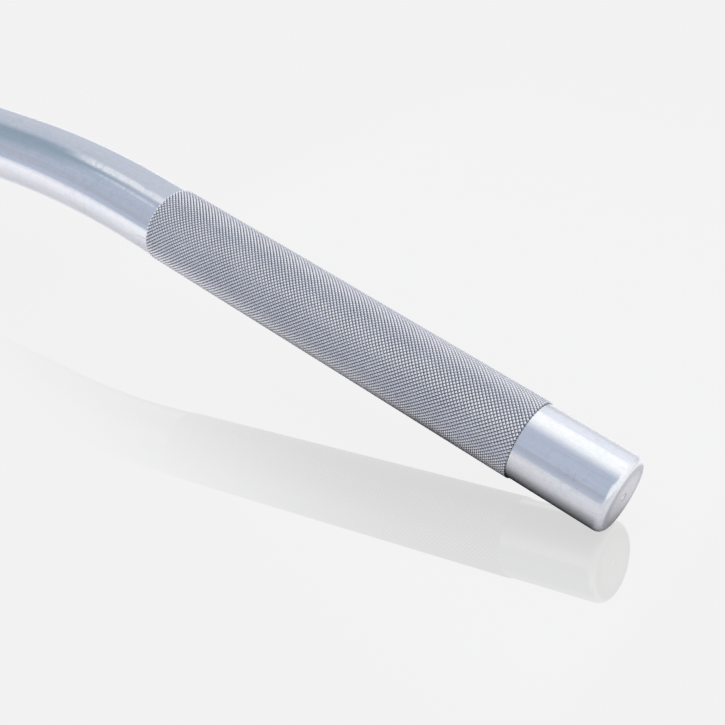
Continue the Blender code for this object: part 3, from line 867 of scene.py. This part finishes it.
for level, direction, hole in (("upper", 1, COUNTERBORE), ("lower", -1, TAPPED_HOLE)):
    half = collar_half(f"clamp_{level}_right", direction, hole)
    twin = mirrored(half, f"clamp_{level}_left")
    for part, label in ((half, "right"), (twin, "left")):
        smooth(part, 30)
        hand_over(part, "bar", "collar_steel", turned_steel, f"collar_{level}_{label}")

# %% [markdown]
# ## Socket head screws
#
# Each collar is clamped by two M6 screws. The head is a cylinder with fine flutes for the fingers
# and a hexagon socket for the key. A screw thread is one small section wound up a helix, which is
# what the Screw modifier does, so the ridge is wound by it, capped and joined to a plain core.

# %% Screw thread
CORE_DEPTH = 0.58  # of the pitch, from the thread's tips to the core
RIDGE_DEPTH = 0.61  # of the pitch, so that the ridge is rooted in the core
RIDGE_HALF = 0.43  # of the pitch, half the ridge's width


def thread_ridge(radius, pitch, base, turns, steps=32):
    """A V-shaped ridge wound round the Z axis upwards from base, closed at both ends."""
    middle = radius - RIDGE_DEPTH * pitch
    ridge = added(
        bpy.ops.mesh.primitive_circle_add, "ridge", vertices=4, radius=RIDGE_HALF * pitch,
        location=(middle, 0, base), rotation=(math.pi / 2, 0, 0),
    )
    with editing(ridge):
        pick(ridge, "verts", lambda vert: vert.co.x > middle + 0.2 * pitch)
        bpy.ops.transform.translate(value=((RIDGE_DEPTH - RIDGE_HALF) * pitch, 0, 0))
    modify(
        ridge, "SCREW", axis="Z", screw_offset=pitch, iterations=turns, steps=steps,
        render_steps=steps, use_merge_vertices=True, merge_threshold=MERGE,
    )
    with editing(ridge):
        bpy.ops.mesh.fill_holes(sides=0)
    clean(ridge)
    return ridge


# %% Socket head screw
SCREW_RADIUS = 0.003
SCREW_PITCH = 0.001
SCREW_TIP = -0.0077
SCREW_TURNS = 12
HEAD_RADIUS = 0.005
HEAD_BASE = 0.0063
HEAD_TOP = 0.0123
SOCKET_FLATS = 0.005
SOCKET_DEPTH = 0.003
FLUTES = 36
FLUTE_SCALE = 0.965


def fluted_head():
    head = added(
        bpy.ops.mesh.primitive_cylinder_add, "head", vertices=2 * FLUTES, radius=HEAD_RADIUS,
        depth=HEAD_TOP - HEAD_BASE, location=(0, 0, (HEAD_TOP + HEAD_BASE) / 2),
    )
    turn = math.pi / FLUTES
    deeper = (FLUTE_SCALE, FLUTE_SCALE, 1)
    with editing(head):
        def in_flute(vert):
            return round(math.atan2(vert.co.y, vert.co.x) / turn) % 2 == 0

        pick(head, "verts", in_flute)
        bpy.ops.transform.resize(value=deeper, center_override=ORIGIN)
    edge = 0.0004
    barrel = [
        (HEAD_BASE, 0), (HEAD_BASE, HEAD_RADIUS), (HEAD_TOP - 2 * edge, HEAD_RADIUS + edge / 4),
        (HEAD_TOP, HEAD_RADIUS - 1.5 * edge), (HEAD_TOP, 0),
    ]
    cut(head, turned("barrel", barrel, sides=72, centre=ORIGIN), "INTERSECT")
    key = added(
        bpy.ops.mesh.primitive_cylinder_add, "key", vertices=6, radius=SOCKET_FLATS / math.sqrt(3),
        depth=2 * SOCKET_DEPTH, location=(0, 0, HEAD_TOP),
    )
    cut(head, key)
    return head


def socket_screw():
    core, plain = SCREW_RADIUS - CORE_DEPTH * SCREW_PITCH, SCREW_RADIUS - 0.0001
    point, top = 0.0004, HEAD_BASE + 0.001
    profile = [(SCREW_TIP, 0), (SCREW_TIP, core - point), (SCREW_TIP + point, core)]
    profile += [(0.0050, core), (0.0055, plain), (top, plain), (top, 0)]
    screw = turned("screw_pattern", profile, sides=32, centre=ORIGIN)
    start = SCREW_TIP + 0.0007
    cut(screw, thread_ridge(SCREW_RADIUS, SCREW_PITCH, start, SCREW_TURNS), "UNION")
    cut(screw, fluted_head(), "UNION")
    clean(screw)
    return screw


pattern = socket_screw()
smooth(pattern, 32)
for label, side in (("right", 1), ("left", -1)):
    for face, where in (("rear", 1), ("front", -1)):
        screw = copy_of(pattern, f"clamp_screw_{label}_{face}")
        shift(screw, (side * COLLAR_MIDDLE, where * SCREW_OFFSET, AXIS))
        hand_over(screw, "bar", "screw_black", black_oxide, f"collar_screw_{label}_{face}")
bpy.data.objects.remove(pattern, do_unlink=True)

# %% [markdown]
# ## The strap
#
# The strap is flat bar, bent over the sleeve on a press, with its feet rounded. Bending is what
# Spin does: the section is a plane as wide and as thick as the bar, extruded up one leg, spun round
# the inside corner, extruded across, spun again and extruded down.

# %% Strap
STRAP_HALF_WIDTH = 0.020
STRAP_INSIDE = 0.0213
STRAP_THICKNESS = 0.006
STRAP_FOOT = -0.008
CORNER_OFFSET, CORNER_HEIGHT = 0.0133, 0.0391  # of a bend's centre
FOOT_ROUNDING = 0.010
BUSH_HOLE, HOLE_HEIGHT = 0.0093, 0.0501


def strap_plate():
    middle = (0, STRAP_INSIDE + STRAP_THICKNESS / 2, AXIS + STRAP_FOOT)
    strap = added(bpy.ops.mesh.primitive_plane_add, "strap_plate", size=1, location=middle)
    size = (2 * STRAP_HALF_WIDTH, STRAP_THICKNESS, 1)
    rise = CORNER_HEIGHT - STRAP_FOOT
    with editing(strap, "FACE"):
        bpy.ops.transform.resize(value=size, center_override=middle)
        extrude((0, 0, rise))
        for side, onwards in ((1, (0, -2 * CORNER_OFFSET, 0)), (-1, (0, 0, -rise))):
            corner = (0, side * CORNER_OFFSET, AXIS + CORNER_HEIGHT)
            bpy.ops.mesh.spin(steps=14, angle=-math.pi / 2, center=corner, axis=(1, 0, 0))
            extrude(onwards)
    clean(strap)
    with editing(strap, "EDGE"):
        def is_foot_corner(edge):
            first, second = (vert.co for vert in edge.verts)
            low = max(first.z, second.z) < AXIS + STRAP_FOOT + 0.0001
            return low and abs(first.x - second.x) < MERGE

        pick(strap, "edges", is_foot_corner)
        bpy.ops.mesh.bevel(offset=FOOT_ROUNDING, segments=12, affect="EDGES")
    clean(strap)
    return strap


strap = strap_plate()
soften_edges(strap, 0.0008)
hole = added(
    bpy.ops.mesh.primitive_cylinder_add, "bush_hole", vertices=96, radius=BUSH_HOLE, depth=0.02,
    location=(0, 0, AXIS + HOLE_HEIGHT),
)
cut(strap, hole)
print("strap", [round(value, 4) for value in strap.dimensions])
smooth(strap, 30)
hand_over(strap, "hub", "strap_chrome", satin_chrome, "hanger_strap")

# %% [markdown]
# ## Weld beads
#
# Each leg stands against the round of the sleeve and is welded down one side, round the foot and up
# the other. A hand-laid bead is a row of small puddles, each over the one before. So one low ball
# is copied along that path, the row is remeshed into one skin, and a little smoothing melts it.

# %% Weld beads
DROP_RADIUS = 0.0021
DROP_SPACING = 0.0016
BEAD_OFFSET = 0.0006  # of the bead's middle from the outline of the leg
BEAD_FROM_AXIS = 0.0222
BEAD_TOP = 0.0075


def bead_path():
    """Points of (x, height) down one side of the leg, round the foot and up the other side."""
    corner_x = STRAP_HALF_WIDTH - FOOT_ROUNDING
    corner_height = STRAP_FOOT + FOOT_ROUNDING
    radius = FOOT_ROUNDING + BEAD_OFFSET
    path = [(-corner_x - radius, BEAD_TOP)]
    path += quarter_round((-corner_x, corner_height), radius, 180, 20)
    path += quarter_round((corner_x, corner_height), radius, 270, 20)
    return path + [(corner_x + radius, BEAD_TOP)]


def spaced(path, spacing):
    """Points at equal distances along a path."""
    places, left = [Vector(path[0])], spacing
    for here, there in zip(map(Vector, path), map(Vector, path[1:])):
        length = (there - here).length
        while left <= length:
            places.append(here.lerp(there, left / length))
            left += spacing
        left -= length
    return places


def weld_bead():
    places = []
    for x, height in spaced(bead_path(), DROP_SPACING):
        places.append(Vector((x, -math.sqrt(BEAD_FROM_AXIS**2 - height**2), AXIS + height)))
    bead = added(
        bpy.ops.mesh.primitive_ico_sphere_add, "weld_bead_front", subdivisions=2,
        radius=DROP_RADIUS, location=places[0],
    )
    with editing(bead):
        for here, there in zip(places, places[1:]):
            bpy.ops.mesh.duplicate_move(TRANSFORM_OT_translate={"value": there - here})
    modify(bead, "REMESH", mode="VOXEL", voxel_size=0.0003)
    modify(bead, "SMOOTH", factor=0.5, iterations=2)
    return bead


bead_front = weld_bead()
bead_rear = mirrored(bead_front, "weld_bead_rear", (1, -1, 1))
for bead in (bead_front, bead_rear):
    smooth(bead, 80, weighted=False)
    hand_over(bead, "hub", "strap_chrome", plated_bead)

# %% [markdown]
# ## The swivel's bush and washers
#
# A flanged bronze bush fills the hole in the strap. A hardened washer lies on it and takes the
# pull, and a plain zinc-plated washer lies over the nut below. Their heights are over the bar's
# axis.

# %% Swivel bush and washers
SHANK_BORE = 0.0063
SWIVEL_EDGE = 0.0003

flanged = flanged_section(
    foot=0.0474, seat=0.0534, top=0.0559, bore=SHANK_BORE, body=0.0090, flange=0.0130,
    edge=SWIVEL_EDGE, taper=2 * SWIVEL_EDGE, seat_edge=SWIVEL_EDGE,
)
thrust = ring_section(low=0.0562, high=0.0577, bore=SHANK_BORE, outer=0.0124, edge=SWIVEL_EDGE)
plain = ring_section(low=0.0448, high=0.0468, bore=SHANK_BORE, outer=0.0120, edge=SWIVEL_EDGE)
swivel_parts = (
    ("flanged_swivel_bush", flanged, "bush_bronze", bearing_bronze, "swivel_bush"),
    ("thrust_ring", thrust, "thrust_steel", ground_steel, "thrust_washer"),
    ("plain_washer", plain, "zinc_plate", zinc_plate, "nut_washer"),
)
for name, section, slot, finish, node in swivel_parts:
    part = turned(name, section)
    smooth(part)
    hand_over(part, "hub", slot, finish, node)

# %% [markdown]
# ## The forged eye
#
# The eye is drop forged: a ring that flows into a neck with no hard edge. The shoulder and the
# shank under it are turned afterwards and stay crisp. The ring and the neck are joined by a voxel
# remesh and smoothed, which gives the soft fillets of a forging, and the turned part is joined on
# to that.

# %% Ring and neck
RING_CENTRE = 0.0815
RING_MAJOR = 0.0165
RING_WIRE = 0.0055
NECK = [
    (0.0605, 0), (0.0605, 0.0106), (0.0632, 0.0104), (0.0642, 0.0088),
    (0.0655, 0.0073), (0.0672, 0.0063), (0.0690, 0.0057), (0.0690, 0),
]


def forging():
    eye = added(
        bpy.ops.mesh.primitive_torus_add, "forged_eye", major_radius=RING_MAJOR,
        minor_radius=RING_WIRE, major_segments=96, minor_segments=40,
        location=(0, 0, AXIS + RING_CENTRE), rotation=(math.pi / 2, 0, 0),
    )
    cut(eye, turned("neck", NECK, sides=64), "UNION")
    modify(eye, "REMESH", mode="VOXEL", voxel_size=0.0004)
    modify(eye, "SMOOTH", factor=0.5, iterations=8)
    return eye


# %% Shoulder and shank
SHANK_RADIUS = 0.006
SHANK_BASE = 0.0280
SHANK_PITCH = 0.00175
SHANK_TURNS = 9
THREAD_TOP = 0.0462
SHOULDER_RADIUS = 0.0120
SHOULDER_BASE = 0.0580
SHOULDER_TOP = 0.0630
PIN_HEIGHT = 0.0320
PIN_HOLE = 0.0018


def shoulder_and_shank():
    edge = 0.0006
    core = SHANK_RADIUS - CORE_DEPTH * SHANK_PITCH
    profile = [
        (SHANK_BASE, 0), (SHANK_BASE, core - edge), (SHANK_BASE + edge, core),
        (THREAD_TOP, core), (THREAD_TOP + edge, SHANK_RADIUS), (SHOULDER_BASE, SHANK_RADIUS),
        (SHOULDER_BASE, SHOULDER_RADIUS - edge), (SHOULDER_BASE + edge, SHOULDER_RADIUS),
        (SHOULDER_TOP - 2 * edge, SHOULDER_RADIUS), (SHOULDER_TOP, SHOULDER_RADIUS - 2 * edge),
        (SHOULDER_TOP, 0),
    ]
    shank = turned("shank", profile)
    base = AXIS + SHANK_BASE + 0.5 * SHANK_PITCH
    cut(shank, thread_ridge(SHANK_RADIUS, SHANK_PITCH, base, SHANK_TURNS, 48), "UNION")
    drill = added(
        bpy.ops.mesh.primitive_cylinder_add, "pin_hole", vertices=32, radius=PIN_HOLE,
        depth=4 * SHANK_RADIUS, location=(0, 0, AXIS + PIN_HEIGHT), rotation=(math.pi / 2, 0, 0),
    )
    cut(shank, drill)
    return shank


eye = forging()
cut(eye, shoulder_and_shank(), "UNION")
clean(eye)
smooth(eye, 38, weighted=False)
print("eye", [round(value, 4) for value in eye.dimensions])
hand_over(eye, "eye", "eye_chrome", forged_chrome, "swivel_eye")

# %% [markdown]
# ## Castle nut and split pin
#
# The nut is a hexagon whose corners are turned off at 30 degrees, with a slotted crown below it.
# The hexagon is cut to that shape by a turned barrel. The slots lie in the middle of the flats, and
# the split pin goes through two of them and the hole in the shank.

# %% Castle nut
NUT_FLATS = 0.019
NUT_BASE = 0.0295
CROWN_TOP = 0.0345
NUT_TOP = 0.0445
CROWN_RADIUS = 0.0085
NUT_BORE = 0.0061
NUT_MOUTH = 0.0076
SLOT_HALF = 0.0018
SLOT_ROOF = 0.0338


def slotted_nut():
    hexagon = NUT_FLATS / math.sqrt(3)
    middle = (0, 0, AXIS + (NUT_TOP + CROWN_TOP) / 2)
    nut = added(
        bpy.ops.mesh.primitive_cylinder_add, "slotted_nut", vertices=6, radius=hexagon,
        depth=NUT_TOP - CROWN_TOP, location=middle, rotation=(0, 0, math.pi / 2),
    )
    corner = hexagon + 0.0001
    face = NUT_FLATS / 2 - 0.0002
    turned_off = (corner - face) * math.tan(math.radians(30))
    barrel = [
        (CROWN_TOP, 0), (CROWN_TOP, face), (CROWN_TOP + turned_off, corner),
        (NUT_TOP - turned_off, corner), (NUT_TOP, face), (NUT_TOP, 0),
    ]
    cut(nut, turned("barrel", barrel), "INTERSECT")
    edge, past = 0.0006, 0.001
    crown = [
        (NUT_BASE, 0), (NUT_BASE, CROWN_RADIUS - edge), (NUT_BASE + edge, CROWN_RADIUS),
        (CROWN_TOP + edge, CROWN_RADIUS), (CROWN_TOP + edge, 0),
    ]
    cut(nut, turned("crown", crown), "UNION")
    bore = [
        (NUT_BASE - past, 0), (NUT_BASE - past, NUT_MOUTH), (NUT_BASE + edge, NUT_BORE),
        (NUT_TOP - edge, NUT_BORE), (NUT_TOP + past, NUT_MOUTH), (NUT_TOP + past, 0),
    ]
    cut(nut, turned("bore", bore))
    height = 2 * (SLOT_ROOF - NUT_BASE)
    for number in range(3):
        slot = added(
            bpy.ops.mesh.primitive_cube_add, "slot", size=1,
            location=(0, 0, AXIS + SLOT_ROOF - height / 2), rotation=(0, 0, number * math.pi / 3),
            scale=(2 * SLOT_HALF, 2 * NUT_FLATS, height),
        )
        cut(nut, slot)
    return nut


nut = slotted_nut()
clean(nut)
smooth(nut, 25)
hand_over(nut, "eye", "zinc_plate", zinc_plate, "castle_nut")

# %% [markdown]
# The pin is one wire folded double. A curve with a round bevel is the plain way to a bent wire: its
# control points run from the tip of one opened leg, through the shank, round the loop and back.

# %% Split pin
PIN_WIRE = 0.0007
STRAND = 0.0008
PIN_HALF = [
    (0.0078, 0.0124), (0.0058, 0.0118), (0.0036, 0.0112), (0.0018, 0.0107), (0.0008, 0.0100),
    (STRAND, 0.0085), (STRAND, 0.0040), (STRAND, -0.0040), (STRAND, -0.0088),
    (0.0011, -0.0098), (0.0024, -0.0109), (0.0027, -0.0126), (0.0019, -0.0142), (0.0, -0.0146),
]


def split_pin():
    pin = added(bpy.ops.curve.primitive_nurbs_path_add, "split_pin")
    places = PIN_HALF + [(-x, y) for x, y in reversed(PIN_HALF[:-1])]
    spline = pin.data.splines[0]
    spline.points.add(len(places) - len(spline.points))
    for point, (x, y) in zip(spline.points, places):
        point.co = (x, y, AXIS + PIN_HEIGHT, 1)
    spline.order_u = 3
    spline.use_endpoint_u = True
    spline.resolution_u = 6
    pin.data.bevel_depth = PIN_WIRE
    pin.data.bevel_resolution = 4
    pin.data.use_fill_caps = True
    make_active(pin)
    bpy.ops.object.convert(target="MESH")
    clean(pin)
    return pin


def wire_finish():
    base = colour(0.66, 0.66, 0.65)
    finish, place = new_finish("drawn_wire", base, 0.24)
    drawn = place.stretched((1, 0.04, 1)).noise(2600, 3, 0.6)
    skin = (place.noise(300, 2, 0.5) * 0.8).mix(base, colour(0.55, 0.55, 0.53))
    return feed(finish, skin, drawn * 0.16 + 0.16, bump(drawn, 6))


pin = split_pin()
smooth(pin, 50, weighted=False)
hand_over(pin, "eye", "washer_stainless", wire_finish(), "cotter_pin")

# %% [markdown]
# ## Studio
#
# Polished chrome shows only what stands round it, so the studio is part of the finish. The sky of
# this scene is written as a formula of the direction: a grey-blue room, darker on the viewer's side
# and along its skirting, a dark corner at the left, a pale back wall, a white card at the right,
# and overhead a soft box, a strip and a lamp. The camera itself sees a plain pale backdrop.

# %% Colours of the studio
BACKDROP = 0.888  # linear value of the pale backdrop
NEAR_ROOM = colour(0.50, 0.55, 0.665)
FAR_ROOM = colour(0.60, 0.63, 0.71)  # also all that the floor's mirror sees of the sky
DARK_CORNER = colour(0.33, 0.41, 0.50)
SKIRTING = colour(0.465, 0.495, 0.58)
WALL_FOOT = colour(0.78, 0.79, 0.83)
WALL = colour(0.92, 0.94, 1.02)
CARD = colour(1.0, 1.0, 1.02)
SOFT_BOX = colour(1.13, 1.13, 1.15)
STRIP = colour(0.66, 0.70, 0.79)
LAMP = colour(0.86, 0.88, 0.93)
FILL = 0.15  # share of the sky that lights dull surfaces, which the overhead light does mostly
SECOND_MIRROR = 0.3  # strength of what is seen in one mirror through another

# %% Sky
def in_second_mirror(term, limit):
    """1 for a reflected ray that has met two surfaces before this one. The sky counts one more."""
    glossy = term.node("LightPath", output="Is Glossy Ray")
    return glossy * term.node("LightPath", output="Ray Depth").math("GREATER_THAN", limit)


def sky():
    world = bpy.data.worlds.new("studio")
    bpy.context.scene.world = world
    world.use_nodes = True
    tree = world.node_tree
    start = tree.nodes.new("ShaderNodeTexCoord")
    look = Term(tree, start.outputs["Generated"])
    x, y, z = (look.part(letter) for letter in "XYZ")
    degrees = 180 / math.pi
    height = z.math("ARCSINE") * degrees
    bearing = x.math("ARCTAN2", y) * degrees
    overhead = z.math("MAXIMUM", 0.02)
    right, far = x / overhead, y / overhead
    box = far.step(-0.42, 0.22) * right.step(-0.48, -0.11) * (1 - right.step(1.4, 1.9))
    wall = height.step(8, 24).mix(WALL_FOOT, WALL)
    areas = (
        (bearing.near(-105, 10, 32) * height.near(43, 6, 30), DARK_CORNER),
        (height.near(12, 3, 12) * (1 - y.step(-0.6, -0.2)), SKIRTING),
        (bearing.near(20, 32, 36) * (1 - height.step(50, 62)), wall),
        (bearing.near(92, 58, 72) * (1 - height.step(38, 52)), CARD),
        (box * (1 - far.step(0.72, 1.0)), SOFT_BOX),
        (right.near(-0.60, 0.04, 0.20) * far.near(-0.50, 0.03, 0.15), STRIP),
        (right.near(-0.55, 0.11, 0.24) * far.near(-0.02, 0.08, 0.26), LAMP),
    )
    room = y.step(-0.2, 0.5).mix(NEAR_ROOM, FAR_ROOM)
    for area, shade in areas:
        room = area.mix(room, shade)
    room = room.node("LightPath", output="Is Singular Ray").mix(room, FAR_ROOM)
    backdrop = colour(BACKDROP, BACKDROP, BACKDROP)
    seen = room.node("LightPath", output="Is Camera Ray").mix(room, backdrop)
    fill = 1 - room.node("LightPath", output="Is Diffuse Ray") * (1 - FILL)
    fill = fill * (1 - in_second_mirror(room, 2.5) * (1 - SECOND_MIRROR))
    background = tree.nodes["Background"]
    tree.links.new(seen.socket, background.inputs["Color"])
    tree.links.new(fill.socket, background.inputs["Strength"])


sky()
print("sky ready")

# %% [markdown]
# ## Floor
#
# The bar stands on a glossy white floor that fades into the backdrop. To everything but the camera
# it is a white floor with a painted shadow under and beside the right grip, and towards the viewer
# it glows in the near room's colour. To the camera it shows the backdrop's colour, darkened a
# little where the object's shadow falls, with a weak mirror image near the grip. That mirror is
# perfectly smooth, which lets the sky know its rays and show them one plain colour, so it mirrors
# only the object.

# %% Sizes and colours of the floor
FLOOR_HEIGHT = -0.153125
FLOOR_RADIUS = 4
SHADOW_SHARE = 0.04
WHITE_FLOOR = colour(0.95, 0.94, 0.98)
OPEN_FLOOR = 0.98  # what the floor's own light comes to where nothing shades it
BLACK = colour(0, 0, 0)
MIRROR = 0.32
MIRROR_FADE = math.radians(75)  # the mirror grows along this bearing, from +X towards +Y
MIRROR_TINT = colour(1.08, 1.03, 0.915)  # takes the room's blue out of the mirror image


def mirror_share(x, y):
    """How much of the mirror the camera sees at a place on the floor."""
    across = x * math.cos(MIRROR_FADE) + y * math.sin(MIRROR_FADE)
    share = across.step(0.032, 0.112) * (1 - x.step(0.612, 0.632)) * y.near(-0.02, 0.12, 0.5)
    return share * x.step(0.30, 0.36) * MIRROR


def painted_floor_shadow(x, y):
    """A painted shadow: how much darker than white the chrome sees the floor, under and beside the
    grip.
    """
    front, beyond = 1 - y.step(-0.02, 0.02), y.step(0.10, 0.28)
    under_end = y.near(0, 0.004, 0.03) * 0.5 + y.near(0.004, 0.004, 0.016) * 0.3
    under_end = under_end * x.step(0.47, 0.54) * (1 - x.step(0.592, 0.604))
    # under_end and under_grip are painted shadow close under the bar
    under_grip = y.near(0, 0.02, 0.06) * x.near(0.46, 0.06, 0.11) * 0.38
    return x.step(0.36, 0.52) * (front * 0.24 + beyond * 0.26) + under_end + under_grip


# %% Floor
def floor_finish():
    """To the camera: glow, a share of real light and a share of mirror. Else a white floor with a
    painted shadow, glowing in the near room's colour towards the viewer.
    """
    finish = bpy.data.materials.new("pale_floor")
    finish.use_nodes = True
    tree = finish.node_tree
    tree.nodes.remove(tree.nodes["Principled BSDF"])
    start = tree.nodes.new("ShaderNodeTexCoord")
    place = Term(tree, start.outputs["Object"])
    x, y = place.part("X"), place.part("Y")
    share = mirror_share(x, y)
    levels = [
        (BACKDROP - share * (room * tint)) / (1 - share) - SHADOW_SHARE * white * OPEN_FLOOR
        for room, tint, white in zip(FAR_ROOM[:3], MIRROR_TINT, WHITE_FLOOR)
    ]
    glow = place.node("Emission", {"Color": place.node("CombineXYZ", dict(enumerate(levels)))})
    shaded = colour(*(SHADOW_SHARE * white for white in WHITE_FLOOR[:3]))
    base = place.node("AddShader", {0: place.node("BsdfDiffuse", {"Color": shaded}), 1: glow})
    gloss = place.node("BsdfAnisotropic", {"Color": MIRROR_TINT, "Roughness": 0.0})
    seen = share.shaders(base, gloss)
    # the painted shadow darkens the floor's colour for everything but the camera
    lit = place.node("BsdfDiffuse", {"Color": painted_floor_shadow(x, y).mix(WHITE_FLOOR, BLACK)})
    lit = (1 - y.step(-0.42, -0.12)).shaders(lit, place.node("Emission", {"Color": NEAR_ROOM}))
    dimmed = in_second_mirror(place, 1.5) * (1 - SECOND_MIRROR)
    lit = dimmed.shaders(lit, place.node("Emission", {"Color": BLACK}))
    whole = place.node("LightPath", output="Is Camera Ray").shaders(lit, seen)
    tree.links.new(whole.socket, tree.nodes["Material Output"].inputs["Surface"])
    return finish


floor = added(
    bpy.ops.mesh.primitive_circle_add, "floor", vertices=96, radius=FLOOR_RADIUS,
    fill_type="NGON", location=(0, 0, FLOOR_HEIGHT),
)
floor.data.materials.append(floor_finish())

# %% [markdown]
# ## Overhead light
#
# A wide, soft light from above lights what isn't polished and gives the floor its faint shadow. The
# chrome doesn't mirror it, because the soft box in the sky already stands there.

# %% Overhead light
OVERHEAD_STRENGTH = 2.95
OVERHEAD_WIDTH = math.radians(100)  # how much of the sky it takes up
OVERHEAD_TILT = (math.radians(-10), math.radians(6), 0)

clear_selection()
bpy.ops.object.light_add(type="SUN", location=(0.3, 0.4, 2))
overhead = bpy.context.object
overhead.name = "overhead"
overhead.rotation_euler = OVERHEAD_TILT
overhead.data.energy = OVERHEAD_STRENGTH
overhead.data.angle = OVERHEAD_WIDTH
overhead.visible_glossy = False

# %% [markdown]
# ## Camera
#
# The camera was fitted to the outline of the grip in the photograph. It stands near the right-hand
# end of the bar and looks down along it at the knurl.

# %% Camera
CAMERA_PLACE = Vector((0.7222, -0.3057, 0.1068))
LOOK_BEARING = math.radians(36.54)
LOOK_DOWN = math.radians(31.73)
ROLL = math.radians(0.76)
SENSOR = 36.0
FOCAL_LENGTH = 62.37

ahead = Vector(
    (
        -math.sin(LOOK_BEARING) * math.cos(LOOK_DOWN),
        math.cos(LOOK_BEARING) * math.cos(LOOK_DOWN),
        -math.sin(LOOK_DOWN),
    )
)
level = ahead.cross(Vector((0, 0, 1))).normalized()
upright = level.cross(ahead)
rightwards = level * math.cos(ROLL) + upright * math.sin(ROLL)
upwards = rightwards.cross(ahead)
clear_selection()
bpy.ops.object.camera_add(location=CAMERA_PLACE)
camera = bpy.context.object
camera.rotation_mode = "QUATERNION"
camera.rotation_quaternion = Matrix((rightwards, upwards, -ahead)).transposed().to_quaternion()
camera.data.sensor_width = SENSOR
camera.data.lens = FOCAL_LENGTH
camera.data.clip_start = 0.01
camera.data.clip_end = 50
bpy.context.scene.camera = camera
bpy.context.scene.view_settings.view_transform = "Standard"
